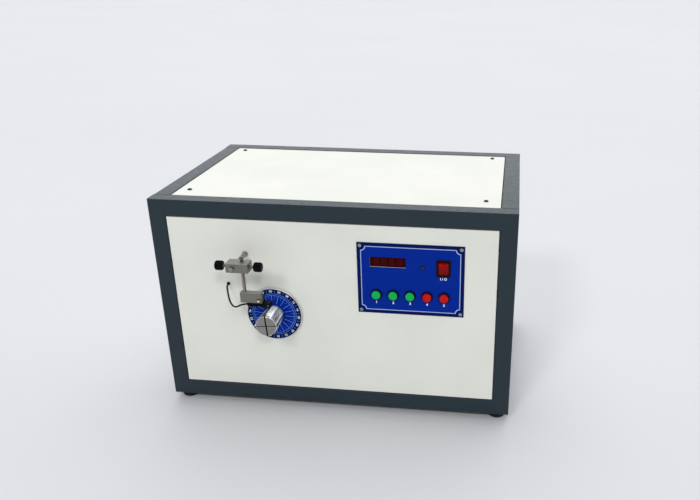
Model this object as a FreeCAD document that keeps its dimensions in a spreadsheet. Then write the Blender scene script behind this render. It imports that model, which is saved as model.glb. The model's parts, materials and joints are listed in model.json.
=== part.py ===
"""Bench tester for the springiness of winding wire.

A box of square steel tube carries sheet panels. On its front a motor-driven mandrel with a
graduated dial winds the wire, and a feeler on a rod stand finds the end of the wire when it
springs back. Units are millimetres. X runs to the right along the front, Y runs into the
cabinet and Z runs up. The origin lies on the bench, under the middle of the outer box.
"""

import FreeCAD, Part
import math
import os
import Sketcher
from FreeCAD import Placement, Rotation, Vector

doc = FreeCAD.newDocument("SpringinessTester")
sheet = doc.addObject("Spreadsheet::Sheet", "Sizes")
next_row = 1


class Size:
    """A length that knows its value and the sheet formula that it comes from."""

    def __init__(self, value, text):
        self.value = float(value)
        self.text = text

    def __add__(self, other):
        other = as_size(other)
        return Size(self.value + other.value, "(%s + %s)" % (self.text, other.text))

    def __radd__(self, other):
        return as_size(other) + self

    def __sub__(self, other):
        other = as_size(other)
        return Size(self.value - other.value, "(%s - %s)" % (self.text, other.text))

    def __rsub__(self, other):
        return as_size(other) - self

    def __mul__(self, other):
        other = as_size(other)
        return Size(self.value * other.value, "(%s * %s)" % (self.text, other.text))

    def __rmul__(self, other):
        return as_size(other) * self

    def __truediv__(self, other):
        other = as_size(other)
        return Size(self.value / other.value, "(%s / %s)" % (self.text, other.text))

    def __neg__(self):
        return Size(-self.value, "(0 - %s)" % self.text)


def as_size(length):
    """Take a plain number or a Size and return a Size."""
    if isinstance(length, Size):
        return length
    return Size(length, repr(float(length)))


def size(alias, value, note):
    """Write one driving size into the sheet and return it."""
    global next_row
    cell = "B%d" % next_row
    sheet.set("A%d" % next_row, note)
    sheet.set(cell, str(value))
    sheet.setAlias(cell, alias)
    next_row += 1
    return Size(value, "Sizes." + alias)


# Cabinet frame and feet
frame_width = size("frame_width", 640, "frame, left to right")
frame_depth = size("frame_depth", 405, "frame, front to back")
frame_height = size("frame_height", 390, "frame, without the feet")
tube_size = size("tube_size", 30, "side of the square tube")
tube_wall = size("tube_wall", 2, "wall of the square tube")
tube_edge = size("tube_edge", 1.4, "bevel along the outer edges of the tube")
foot_height = size("foot_height", 12, "rubber foot, bench to frame")
foot_top_diameter = size("foot_top_diameter", 34, "rubber foot, at the frame")
foot_base_diameter = size("foot_base_diameter", 30, "rubber foot, at the bench")
foot_inset = size("foot_inset", 22, "foot centre, from both outer faces")
foot_stud_diameter = size("foot_stud_diameter", 6, "stud moulded into a foot")
foot_stud_length = size("foot_stud_length", 9, "stud above its foot")

# Panels, their welded tabs and their screws
panel_gap = size("panel_gap", 1, "slit between a panel and the tubes")
panel_recess = size("panel_recess", 0.5, "panel face below the tube face")
panel_thickness = size("panel_thickness", 1.5, "panel sheet")
panel_flange = size("panel_flange", 15, "folded edge of a panel, from its face")
panel_edge_radius = size("panel_edge_radius", 1.2, "outer radius of a folded edge")
base_thickness = size("base_thickness", 2.5, "base plate")
base_drop = size("base_drop", 8, "base plate top, below the top of the bottom tubes")
tab_thickness = size("tab_thickness", 2, "welded tab")
tab_width = size("tab_width", 20, "welded tab, along the tube")
tab_leg = size("tab_leg", 10, "welded tab, leg on the tube")
tab_margin = size("tab_margin", 9, "tab past its screw")
screw_diameter = size("screw_diameter", 4, "panel screw shank")
screw_head_diameter = size("screw_head_diameter", 8, "panel screw head")
screw_head_height = size("screw_head_height", 2.2, "panel screw head")
screw_past_tab = size("screw_past_tab", 3, "panel screw past its tab")
side_tab_inset = size("side_tab_inset", 21, "tab or screw of a panel, in from the tube")
side_tab_setback = size("side_tab_setback", 34, "tab or screw of a panel, from its corner")
top_screw_left = size("top_screw_left", 21, "left screws of the top, in from the tube")
top_screw_right = size("top_screw_right", 27, "right screws of the top, in from the tube")
top_screw_front = size("top_screw_front", 34, "front screws of the top, in from the tube")
top_screw_rear = size("top_screw_rear", 20, "rear screws of the top, in from the tube")
vent_length = size("vent_length", 60, "vent slot of the rear panel")
vent_height = size("vent_height", 4.5, "vent slot of the rear panel")
vent_pitch = size("vent_pitch", 12, "vent slots, one above the other")
vent_count = 6

# Control plate and what it carries
plate_width = size("plate_width", 186.5, "control plate")
plate_height = size("plate_height", 132.6, "control plate")
plate_thickness = size("plate_thickness", 1, "control plate")
plate_from_right = size("plate_from_right", 87, "plate, from the right face of the frame")
plate_from_bottom = size("plate_from_bottom", 196.2, "plate, from the bottom of the frame")
plate_screw_inset = size("plate_screw_inset", 5.7, "plate screws, in from its edges")
plate_screw_diameter = size("plate_screw_diameter", 3, "plate screw shank")
plate_screw_head = size("plate_screw_head", 6.5, "plate screw head diameter")
plate_screw_head_height = size("plate_screw_head_height", 1.95, "plate screw head")
plate_screw_length = size("plate_screw_length", 8, "plate screw shank length")
window_width = size("window_width", 62.6, "display cut-out")
window_height = size("window_height", 18.8, "display cut-out")
window_right = size("window_right", 53.8, "display centre, from the plate's left edge")
window_up = size("window_up", 97.4, "display centre, from the plate's lower edge")
window_lap = size("window_lap", 4, "red filter past its cut-out, on each side")
window_sheet = size("window_sheet", 2, "red filter thickness")
lamp_right = size("lamp_right", 114.1, "lamp, from the plate's left edge")
lamp_up = size("lamp_up", 90.7, "lamp, from the plate's lower edge")
lamp_head = size("lamp_head", 7.6, "lamp lens diameter")
lamp_shank = size("lamp_shank", 6, "lamp body diameter")
lamp_length = size("lamp_length", 16, "lamp body length")
lamp_rim = size("lamp_rim", 1, "lamp lens, straight part of its head")
lamp_dome = size("lamp_dome", 1.4, "lamp lens, dome on its head")
rocker_right = size("rocker_right", 150.4, "power switch, from the plate's left edge")
rocker_up = size("rocker_up", 91, "power switch, from the plate's lower edge")
bezel_width = size("bezel_width", 25, "power switch bezel")
bezel_height = size("bezel_height", 31, "power switch bezel")
bezel_thickness = size("bezel_thickness", 2, "power switch bezel, proud of the plate")
switch_width = size("switch_width", 21.6, "power switch body")
switch_height = size("switch_height", 28, "power switch body")
switch_depth = size("switch_depth", 22, "power switch body, behind the plate")
rocker_width = size("rocker_width", 17.7, "red rocker")
rocker_half_height = size("rocker_half_height", 11.6, "red rocker, pivot to end")
rocker_end_reach = size("rocker_end_reach", 7, "rocker ends, in front of the pivot")
rocker_dip = size("rocker_dip", 2.5, "rocker middle, behind its ends")
rocker_pivot_depth = size("rocker_pivot_depth", 3, "rocker pivot, behind the plate face")
rocker_pin = size("rocker_pin", 3, "rocker pivot pin diameter")
rocker_tilt = size("rocker_tilt", 10, "rocker, degrees either side of the middle")
rocker_room = size("rocker_room", 1.4, "rocker end to the wall of its recess")
rocker_side_gap = size("rocker_side_gap", 0.4, "rocker side to the wall of its recess")
rocker_recess = size("rocker_recess", 11, "rocker recess, behind the plate face")
rocker_back = size("rocker_back", 4.9, "rocker back, behind its pivot")
rocker_heel = size("rocker_heel", 8.1, "rocker back, half its height")
rocker_pin_reach = size("rocker_pin_reach", 1.3, "rocker pin, past each side of the rocker")
button_first = size("button_first", 32.8, "first button, from the plate's left edge")
button_pitch = size("button_pitch", 29.8, "one button to the next")
button_up = size("button_up", 36.2, "buttons, from the plate's lower edge")
button_ring = size("button_ring", 20, "button ring diameter")
button_ring_height = size("button_ring_height", 4, "button ring, proud of the plate")
button_ring_floor = size("button_ring_floor", 0.8, "button ring, under its recess")
button_cap_diameter = size("button_cap_diameter", 15.6, "button cap")
button_cap_height = size("button_cap_height", 3.6, "button cap thickness")
button_travel = size("button_travel", 2, "button stroke")
button_bottom_gap = size("button_bottom_gap", 0.2, "button cap over its recess, pushed in")
button_body = size("button_body", 16, "threaded body of a button")
button_body_length = size("button_body_length", 20, "threaded body of a button")
button_stem = size("button_stem", 6, "square stem of a button cap")
button_stem_length = size("button_stem_length", 14, "stem of a button cap")
nut_across = size("nut_across", 19, "button nut across its flats")
nut_height = size("nut_height", 3, "button nut")
running_clearance = size("running_clearance", 0.05, "radial clearance of a running fit")
board_depth = size("board_depth", 32, "control board, behind the panel face")
board_thickness = size("board_thickness", 1.6, "control board")
board_inset = size("board_inset", 12, "control board, in from the plate's edges")
standoff_diameter = size("standoff_diameter", 6, "control board standoff")

# Spindle, mandrel and dial
spindle_from_left = size("spindle_from_left", 213, "spindle, from the left face of the frame")
spindle_from_bottom = size("spindle_from_bottom", 184, "spindle, from the bottom of the frame")
mandrel_diameter = size("mandrel_diameter", 37.5, "mandrel, front part")
mandrel_neck = size("mandrel_neck", 35.8, "mandrel, rear part")
mandrel_face = size("mandrel_face", 53, "mandrel face, in front of the frame")
mandrel_collar = size("mandrel_collar", 15, "mandrel, length of the front part")
mandrel_chamfer = size("mandrel_chamfer", 0.8, "mandrel, edge of the face")
wide_slot = size("wide_slot", 1.9, "mandrel, upright saw slot")
thin_slot = size("thin_slot", 1.2, "mandrel, level saw slot")
slot_depth = size("slot_depth", 9, "mandrel, depth of the saw slots")
slot_turn = size("slot_turn", 4, "mandrel, degrees the cross is turned")
dial_diameter = size("dial_diameter", 100, "dial")
dial_thickness = size("dial_thickness", 2.5, "dial")
dial_standoff = size("dial_standoff", 2.5, "dial, back face in front of the frame")
dial_bevel = size("dial_bevel", 0.8, "dial rim bevel")
hub_diameter = size("hub_diameter", 32, "hub behind the dial")
hub_length = size("hub_length", 8, "hub behind the dial")
hub_bevel = size("hub_bevel", 1, "hub behind the dial, bevel")
spindle_hole = size("spindle_hole", 40, "hole in the front panel for the spindle")
nose_diameter = size("nose_diameter", 12, "spindle nose inside the mandrel")
nose_length = size("nose_length", 30, "spindle nose inside the mandrel")
shaft_diameter = size("shaft_diameter", 15, "spindle in its bearings")
tail_diameter = size("tail_diameter", 10, "spindle tail and motor shaft")
tail_length = size("tail_length", 34, "spindle tail")
shaft_past_housing = size("shaft_past_housing", 2, "spindle, past its bearing housing")
bearing_outer = size("bearing_outer", 32, "bearing outside diameter")
bearing_width = size("bearing_width", 9, "bearing width")
housing_depth = size("housing_depth", 32, "bearing housing, behind the frame face")
housing_length = size("housing_length", 40, "bearing housing")
housing_flange = size("housing_flange", 84, "bearing housing flange diameter")
housing_flange_thickness = size("housing_flange_thickness", 8, "bearing housing flange")
housing_barrel = size("housing_barrel", 48, "bearing housing barrel diameter")
housing_bolt_circle = size("housing_bolt_circle", 68, "bearing housing bolt circle")
bearing_shoulder = size("bearing_shoulder", 3, "bearing housing, shoulder at each bearing")
encoder_gap = size("encoder_gap", 8, "encoder disc, behind the bearing housing")
encoder_diameter = size("encoder_diameter", 72, "encoder disc")
encoder_thickness = size("encoder_thickness", 1.5, "encoder disc")
encoder_hub_diameter = size("encoder_hub_diameter", 24, "encoder disc hub")
encoder_hub_length = size("encoder_hub_length", 8, "encoder disc hub")
encoder_slot_length = size("encoder_slot_length", 7, "encoder slot, along the radius")
encoder_slot_width = size("encoder_slot_width", 2.6, "encoder slot, across the radius")
encoder_rim = size("encoder_rim", 3, "encoder disc, rim outside its slots")
encoder_slots = 18
sensor_width = size("sensor_width", 12, "encoder sensor")
sensor_gap = size("sensor_gap", 3, "encoder sensor, clear of the disc on each side")
sensor_cheek = size("sensor_cheek", 6, "encoder sensor, cheek behind the disc")
sensor_rise = size("sensor_rise", 9, "encoder sensor, above its mouth")
coupling_diameter = size("coupling_diameter", 30, "coupling")
coupling_length = size("coupling_length", 34, "coupling")
coupling_gap = size("coupling_gap", 4, "coupling, behind the encoder hub")
shaft_end_gap = size("shaft_end_gap", 2, "between the two shafts in the coupling")
motor_side = size("motor_side", 57, "gear motor, square")
gearbox_length = size("gearbox_length", 42, "gearbox")
shaft_in_gearbox = size("shaft_in_gearbox", 10, "motor shaft, inside the gearbox")
shaft_end_float = size("shaft_end_float", 1, "motor shaft, end to its bore")
motor_length = size("motor_length", 76, "motor behind its gearbox")
motor_step = size("motor_step", 2, "motor, inside the gearbox outline")
motor_pilot = size("motor_pilot", 38, "gearbox pilot diameter")
motor_bolt_pitch = size("motor_bolt_pitch", 47.1, "gearbox bolts, square")
motor_clearance = size("motor_clearance", 8, "coupling to the rear upright")

# Stand inside the cabinet that carries the bearings and the motor
stand_width = size("stand_width", 110, "drive stand")
stand_plate = size("stand_plate", 4, "drive stand plate")
stand_above = size("stand_above", 46, "drive stand, above the spindle")
drive_screw = size("drive_screw", 5, "drive screw shank")
drive_screw_head = size("drive_screw_head", 8, "drive screw head across its flats")
drive_screw_head_height = size("drive_screw_head_height", 3.5, "drive screw head")

# Rod stand with the feeler
support_rod = size("support_rod", 8, "support rod")
support_from_left = size("support_from_left", 167, "support rod, from the left face of the frame")
support_from_bottom = size("support_from_bottom", 295.9, "support rod, above the frame bottom")
support_reach = size("support_reach", 70, "support rod, in front of the frame")
support_tail = size("support_tail", 14, "support rod, behind the panel")
support_rod_bevel = size("support_rod_bevel", 0.8, "support rod, bevel on its front end")
collar_diameter = size("collar_diameter", 15, "collar nut on the support rod")
collar_thickness = size("collar_thickness", 2.4, "collar nut on the support rod")
support_nut_across = size("support_nut_across", 13, "support rod nut across its flats")
support_nut_height = size("support_nut_height", 6.5, "support rod nut")
block_width = size("block_width", 38.8, "cross block, left to right")
block_height = size("block_height", 16.7, "cross block")
block_depth = size("block_depth", 22.5, "cross block, front to back")
block_face = size("block_face", 65, "cross block face, in front of the frame")
block_left_of_rod = size("block_left_of_rod", 11.2, "cross block, left of the support rod")
block_chamfer = size("block_chamfer", 0.6, "edges of both blocks")
probe_rod = size("probe_rod", 6, "probe rod")
probe_offset = size("probe_offset", 14.5, "probe rod, right of the support rod")
probe_rod_above = size("probe_rod_above", 9.5, "probe rod, above the cross block")
probe_rod_grip = size("probe_rod_grip", 12, "probe rod, inside the probe block")
probe_rod_bevel = size("probe_rod_bevel", 1, "bevel on top of the probe rod")
thumb_shank = size("thumb_shank", 5, "thumb screw shank")
thumb_tip_gap = size("thumb_tip_gap", 0.1, "thumb screw tip to its rod")
thumb_shank_shown = size("thumb_shank_shown", 7.5, "thumb screw shank outside the block")
thumb_head = size("thumb_head", 16.5, "thumb screw head diameter")
thumb_head_length = size("thumb_head_length", 13.5, "thumb screw head")
thumb_shank_in_head = size("thumb_shank_in_head", 9, "thumb screw shank inside its head")
thumb_collar = size("thumb_collar", 10, "thumb screw head, collar diameter")
thumb_collar_length = size("thumb_collar_length", 2.5, "thumb screw head, collar")
thumb_groove = size("thumb_groove", 0.7, "knurl depth")
thumb_ridges = 24
probe_block_width = size("probe_block_width", 37.7, "probe block, left to right")
probe_block_height = size("probe_block_height", 18.9, "probe block")
probe_block_depth = size("probe_block_depth", 10.8, "probe block, front to back")
probe_block_left = size("probe_block_left", 7.4, "probe block, left of the probe rod")
probe_block_drop = size("probe_block_drop", 38, "cross block down to the probe block")
arm_height = size("arm_height", 6, "feeler arm")
arm_start = size("arm_start", 11.5, "feeler arm, right of the probe block's left end")
arm_reach = size("arm_reach", 15, "feeler arm, past the probe block's right end")
arm_upstand = size("arm_upstand", 3, "feeler arm, plate behind the probe block")
arm_upstand_width = size("arm_upstand_width", 12, "feeler arm, plate behind the probe block")
brass_shank = size("brass_shank", 3, "brass screw shank")
brass_head = size("brass_head", 6, "brass screw head diameter")
brass_head_height = size("brass_head_height", 3, "brass screw head")
brass_inset = size("brass_inset", 5, "brass screw, in from the probe block's right end")
brass_up = size("brass_up", 5, "brass screw, above the probe block's lower face")
finger_thickness = size("finger_thickness", 3, "feeler finger")
finger_width = size("finger_width", 7, "feeler finger, at its pivot")
finger_tip = size("finger_tip", 4, "feeler finger, at its tip")
finger_length = size("finger_length", 9, "feeler finger, below its pivot")
finger_pin = size("finger_pin", 2, "feeler pin diameter")
finger_pin_head = size("finger_pin_head", 3.2, "feeler pin head diameter")
finger_pin_head_height = size("finger_pin_head_height", 1, "feeler pin head")
finger_inset = size("finger_inset", 4.5, "feeler pin, in from the end of its arm")
fork_clearance = size("fork_clearance", 0.3, "feeler finger, to each cheek of its fork")
fork_depth = size("fork_depth", 5.3, "fork in the arm, left of the feeler pin")

# Sensor cable
cable_diameter = size("cable_diameter", 3, "sensor cable")
grommet_flange = size("grommet_flange", 8, "cable bush, flange diameter")
grommet_neck = size("grommet_neck", 6, "cable bush in the panel")
grommet_front = size("grommet_front", 1.5, "cable bush, in front of the panel")
grommet_back = size("grommet_back", 4, "cable bush, behind the panel")
grommet_from_left = size("grommet_from_left", 131, "cable bush, from the left face of the frame")
grommet_from_bottom = size("grommet_from_bottom", 237.5, "cable bush, above the frame bottom")

# Electrical units on the base plate, and the mains inlet
supply_width = size("supply_width", 98, "power supply")
supply_length = size("supply_length", 160, "power supply")
supply_height = size("supply_height", 40, "power supply")
driver_width = size("driver_width", 76, "motor driver")
driver_length = size("driver_length", 118, "motor driver")
driver_height = size("driver_height", 34, "motor driver")
fin_height = size("fin_height", 9, "motor driver fins")
fin_thickness = size("fin_thickness", 2, "motor driver fins")
fin_count = 8
strip_length = size("strip_length", 90, "terminal strip")
strip_width = size("strip_width", 22, "terminal strip")
strip_height = size("strip_height", 16, "terminal strip")
strip_well = size("strip_well", 6.5, "terminal strip, side of a square well")
strip_well_depth = size("strip_well_depth", 8, "terminal strip, depth of a well")
strip_poles = 8
unit_gap = size("unit_gap", 24, "between the units on the base plate")
inlet_width = size("inlet_width", 27, "mains inlet body")
inlet_height = size("inlet_height", 20, "mains inlet body")
inlet_depth = size("inlet_depth", 24, "mains inlet body, behind its flange")
inlet_flange_width = size("inlet_flange_width", 50, "mains inlet flange")
inlet_flange_height = size("inlet_flange_height", 24, "mains inlet flange")
inlet_flange = size("inlet_flange", 3, "mains inlet flange, proud of the rear face")
inlet_screw_pitch = size("inlet_screw_pitch", 40, "mains inlet screws")
inlet_wall = size("inlet_wall", 1.5, "mains inlet, wall round its recess")
inlet_recess = size("inlet_recess", 14.5, "mains inlet recess, from the rear face")
inlet_pin_root = size("inlet_pin_root", 17, "mains inlet pins, from the rear face")
inlet_pin_width = size("inlet_pin_width", 2, "mains inlet pin")
inlet_pin_height = size("inlet_pin_height", 4, "mains inlet pin")
inlet_pin_side = size("inlet_pin_side", 7, "outer pins of the inlet, from its middle")
inlet_pin_drop = size("inlet_pin_drop", 2, "outer pins of the inlet, below its middle")
inlet_pin_rise = size("inlet_pin_rise", 3, "earth pin of the inlet, above its middle")
inlet_from_right = size("inlet_from_right", 80, "mains inlet, from the right face of the frame")
inlet_from_bottom = size("inlet_from_bottom", 75, "mains inlet, above the frame bottom")

# Places that many pieces share
rear_reach = inlet_flange - panel_recess + plate_screw_head_height
front = (support_reach - frame_depth - rear_reach) / 2
back = front + frame_depth
left = -frame_width / 2
right = frame_width / 2
bottom = foot_height
top = foot_height + frame_height
opening_width = frame_width - 2 * tube_size
opening_depth = frame_depth - 2 * tube_size
opening_height = frame_height - 2 * tube_size
middle_height = foot_height + frame_height / 2
panel_face = front + panel_recess
panel_back = panel_face + panel_thickness
plate_face = panel_face - plate_thickness
plate_left = right - plate_from_right - plate_width
plate_bottom = bottom + plate_from_bottom
base_top = bottom + tube_size - base_drop
spindle_x = left + spindle_from_left
spindle_z = bottom + spindle_from_bottom
support_x = left + support_from_left
support_z = bottom + support_from_bottom
probe_x = support_x + probe_offset
block_front = front - block_face
probe_y = block_front + block_depth / 2
block_left = support_x - block_left_of_rod
block_right = block_left + block_width
block_bottom = support_z - block_height / 2
probe_block_top = block_bottom - probe_block_drop
probe_block_bottom = probe_block_top - probe_block_height
probe_block_x = probe_x - probe_block_left
probe_block_end = probe_block_x + probe_block_width
probe_block_front = probe_y - probe_block_depth / 2
probe_block_back = probe_y + probe_block_depth / 2
arm_bottom = probe_block_bottom - arm_height
arm_left = probe_block_x + arm_start
arm_right = probe_block_end + arm_reach
finger_x = arm_right - finger_inset
finger_z = probe_block_bottom - arm_height / 2
inlet_x = right - inlet_from_right
inlet_z = bottom + inlet_from_bottom

ABOUT_X = Vector(1, 0, 0)
ABOUT_Y = Vector(0, 1, 0)
ABOUT_Z = Vector(0, 0, 1)
ALONG = {
    "X": Rotation(ABOUT_Y, 90),
    "Y": Rotation(ABOUT_X, -90),
    "Z": Rotation(),
    "-X": Rotation(ABOUT_Y, -90),
    "-Y": Rotation(ABOUT_X, 90),
}
# A panel is drawn lying flat, face up. This stands it up facing the given way.
FACING = {
    "up": Rotation(),
    "front": Rotation(ABOUT_X, 90),
    "right": Rotation(ABOUT_Z, 90) * Rotation(ABOUT_X, 90),
    "rear": Rotation(ABOUT_Z, 180) * Rotation(ABOUT_X, 90),
    "left": Rotation(ABOUT_Z, -90) * Rotation(ABOUT_X, 90),
}
CORNERS = [(-1, -1), (1, -1), (1, 1), (-1, 1)]
QUARTERS = [(1, 0), (0, 1), (-1, 0), (0, -1)]
# Screw heads and button threads have this many sides, the thin shanks of screws six.
HEAD_SIDES = 12
# How far a cutting shape runs past the face that it cuts
PAST = 1
nodes = []


def bind(item, prop, length):
    """Tie one property of an object to a size."""
    item.setExpression(prop, as_size(length).text)


def place(item, x, y, z, turn=None):
    """Put an object at a place that follows the sizes."""
    spot = [as_size(part) for part in (x, y, z)]
    item.Placement = Placement(Vector(*[part.value for part in spot]), turn or Rotation())
    for name, part in zip("xyz", spot):
        bind(item, "Placement.Base." + name, part)
    return item


def node(item, label):
    """Give a finished piece its name and keep it for the export."""
    item.Label = label
    nodes.append(item)
    return item


def block(name, x, y, z):
    """A box between two values on each axis."""
    item = doc.addObject("Part::Box", name)
    for prop, (low, high) in zip(("Length", "Width", "Height"), (x, y, z)):
        bind(item, prop, as_size(high) - low)
    return place(item, x[0], y[0], z[0])


def cylinder(name, diameter, length, x, y, z, along="Z"):
    """A cylinder that starts at a point and runs along an axis."""
    item = doc.addObject("Part::Cylinder", name)
    bind(item, "Radius", as_size(diameter) / 2)
    bind(item, "Height", length)
    return place(item, x, y, z, ALONG[along])


def prism(name, corners, height, x, y, z, along="Z", sides=6):
    """A prism sized across its corners: a nut, or the thread or head of a screw."""
    item = doc.addObject("Part::Prism", name)
    item.Polygon = sides
    bind(item, "Circumradius", as_size(corners) / 2)
    bind(item, "Height", height)
    return place(item, x, y, z, ALONG[along])


def across_corners(flats):
    """The size of a hexagon across its corners, from its size across flats."""
    return flats / math.cos(math.pi / 6)


def cut(name, base, *tools):
    """Take the tools away from the base."""
    tool = tools[0] if len(tools) == 1 else fuse(name + "_tools", *tools)
    item = doc.addObject("Part::Cut", name)
    item.Base = base
    item.Tool = tool
    return item


def fuse(name, *parts):
    """Join parts into one solid."""
    item = doc.addObject("Part::MultiFuse", name)
    item.Shapes = list(parts)
    item.Refine = True
    return item


def group(name, parts):
    """Keep separate solids together in one piece list."""
    item = doc.addObject("Part::Compound", name)
    item.Links = list(parts)
    return item


def new_body(name):
    """Start a piece that is built from sketches."""
    return doc.addObject("PartDesign::Body", name)


def new_sketch(body, plane, x=0, y=0, height=0, turn=0):
    """A sketch on one of the body's own planes, moved within and off that plane."""
    sketch = body.newObject("Sketcher::SketchObject", body.Name + "_sketch")
    roles = {feature.Role: feature for feature in body.Origin.OriginFeatures}
    sketch.AttachmentSupport = [(roles[plane + "_Plane"], "")]
    sketch.MapMode = "FlatFace"
    spot = [as_size(part) for part in (x, y, height)]
    turned = Rotation(ABOUT_Z, as_size(turn).value)
    sketch.AttachmentOffset = Placement(Vector(*[part.value for part in spot]), turned)
    for name, part in zip("xyz", spot):
        bind(sketch, "AttachmentOffset.Base." + name, part)
    if isinstance(turn, Size):
        bind(sketch, "AttachmentOffset.Rotation.Angle", turn)
    return sketch


def dimension(sketch, kind, name, length, *where):
    """Add a driving constraint and tie it to a size."""
    length = as_size(length)
    index = sketch.addConstraint(Sketcher.Constraint(kind, *where, length.value))
    sketch.renameConstraint(index, name)
    bind(sketch, "Constraints." + name, length)


def add_rectangle(sketch, width, height):
    """A rectangle centred on the sketch origin."""
    half_w = as_size(width).value / 2
    half_h = as_size(height).value / 2
    corners = [Vector(i * half_w, j * half_h, 0) for i, j in CORNERS]
    first = sketch.GeometryCount
    for start, end in zip(corners, corners[1:] + corners[:1]):
        sketch.addGeometry(Part.LineSegment(start, end), False)
    for side in range(4):
        after = first + (side + 1) % 4
        sketch.addConstraint(Sketcher.Constraint("Coincident", first + side, 2, after, 1))
        level = "Horizontal" if side % 2 == 0 else "Vertical"
        sketch.addConstraint(Sketcher.Constraint(level, first + side))
    sketch.addConstraint(Sketcher.Constraint("Symmetric", first, 1, first + 2, 1, -1, 1))
    dimension(sketch, "Distance", "width", width, first)
    dimension(sketch, "Distance", "height", height, first + 1)


def add_circle(sketch, diameter):
    """A circle centred on the sketch origin."""
    radius = as_size(diameter).value / 2
    index = sketch.addGeometry(Part.Circle(Vector(), ABOUT_Z, radius), False)
    sketch.addConstraint(Sketcher.Constraint("Coincident", index, 3, -1, 1))
    dimension(sketch, "Diameter", "diameter", diameter, index)


def add_polygon(sketch, corners, sides=6):
    """A polygon round the sketch origin, sized across its corners, for a thread."""
    reach = as_size(corners) / 2
    points = []
    for step in range(sides):
        angle = 2 * math.pi * step / sides
        points.append((reach * math.cos(angle), reach * math.sin(angle)))
    add_outline(sketch, points)


def add_outline(sketch, points):
    """A closed outline of straight lines through points that follow the sizes."""
    spots = [(as_size(x), as_size(y)) for x, y in points]
    vectors = [Vector(x.value, y.value, 0) for x, y in spots]
    for start, end in zip(vectors, vectors[1:] + vectors[:1]):
        sketch.addGeometry(Part.LineSegment(start, end), False)
    count = len(spots)
    for index in range(count):
        after = (index + 1) % count
        sketch.addConstraint(Sketcher.Constraint("Coincident", index, 2, after, 1))
    for index, (x, y) in enumerate(spots):
        pin_vertex(sketch, "DistanceX", "x%d" % index, x, index, -2)
        pin_vertex(sketch, "DistanceY", "y%d" % index, y, index, -1)


def pin_vertex(sketch, kind, name, length, index, axis):
    """Hold one coordinate of a corner, measured from the sketch origin."""
    if abs(length.value) < 1e-9:
        sketch.addConstraint(Sketcher.Constraint("PointOnObject", index, 1, axis))
    else:
        dimension(sketch, kind, name, length, -1, 1, index, 1)


def pad(body, sketch, length, reverse=False, middle=False):
    """Push a sketch out into a solid."""
    feature = body.newObject("PartDesign::Pad", body.Name + "_pad")
    feature.Profile = sketch
    feature.Reversed = reverse
    if middle:
        feature.SideType = "Symmetric"
    bind(feature, "Length", length)
    sketch.Visibility = False
    return feature


def pocket(body, sketch, length, reverse=False, middle=False):
    """Cut a sketch into the solid, against the sketch's normal unless reversed."""
    feature = body.newObject("PartDesign::Pocket", body.Name + "_pocket")
    feature.Profile = sketch
    feature.Reversed = reverse
    if middle:
        feature.SideType = "Symmetric"
    bind(feature, "Length", length)
    sketch.Visibility = False
    return feature


def revolve(body, sketch, kind="PartDesign::Revolution"):
    """Turn a half section about the upright axis of its sketch."""
    feature = body.newObject(kind, body.Name + "_turning")
    feature.Profile = sketch
    feature.ReferenceAxis = (sketch, ["V_Axis"])
    feature.Angle = 360
    sketch.Visibility = False
    return feature


def polar_pattern(body, feature, count):
    """Repeat a feature round the body's own Z axis."""
    pattern = body.newObject("PartDesign::PolarPattern", body.Name + "_pattern")
    pattern.Originals = [feature]
    roles = {item.Role: item for item in body.Origin.OriginFeatures}
    pattern.Axis = (roles["Z_Axis"], [""])
    pattern.Angle = 360
    pattern.Occurrences = count
    body.Tip = pattern
    return pattern


def turned_body(name, points):
    """A turned piece: its half section as (radius, height) corners."""
    body = new_body(name)
    sketch = new_sketch(body, "XZ")
    add_outline(sketch, points)
    revolve(body, sketch)
    return body


def round_edges(body, kind, amount, wanted):
    """Fillet or chamfer the edges that a test picks out of the finished body."""
    doc.recompute()
    tip = body.Tip
    names = []
    for index, edge in enumerate(tip.Shape.Edges):
        if wanted(edge):
            names.append("Edge%d" % (index + 1))
    feature = body.newObject("PartDesign::" + kind, body.Name + "_edges")
    feature.Base = (tip, names)
    bind(feature, "Radius" if kind == "Fillet" else "Size", amount)
    return feature


def is_along(edge, axis):
    """Whether an edge is a straight line along an axis."""
    if edge.Curve.TypeId != "Part::GeomLine":
        return False
    return abs(edge.tangentAt(edge.FirstParameter).dot(axis)) > 0.999


# Frame of square tube, mitred at the corners of the two end frames
def square_tube(name, length):
    """A hollow tube along X, centred on its middle."""
    body = new_body(name)
    outer = new_sketch(body, "YZ")
    add_rectangle(outer, tube_size, tube_size)
    pad(body, outer, length, middle=True)
    round_edges(body, "Chamfer", tube_edge, lambda edge: is_along(edge, ABOUT_X))
    inner = new_sketch(body, "YZ")
    add_rectangle(inner, tube_size - 2 * tube_wall, tube_size - 2 * tube_wall)
    pocket(body, inner, length + tube_size, middle=True)
    return body


def saw_mitres(body, length):
    """Saw both ends off at 45 degrees, with the upper side left the shorter one."""
    for side in (-1, 1):
        saw = new_sketch(body, "XZ", x=side * length / 2, y=tube_size / 2)
        past = tube_wall
        reach = tube_size + past
        add_outline(saw, [(-side * reach, past), (side * past, past), (side * past, -reach)])
        pocket(body, saw, 2 * tube_size, middle=True)


def drill_foot_holes(body, y):
    """Threaded holes for the foot studs, up through the lower wall of a tube."""
    for side in (-1, 1):
        spot = side * (frame_width / 2 - foot_inset)
        thread = new_sketch(body, "XY", x=spot, y=y, height=-tube_size / 2)
        add_polygon(thread, foot_stud_diameter)
        pocket(body, thread, 2 * tube_wall, reverse=True)


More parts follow.
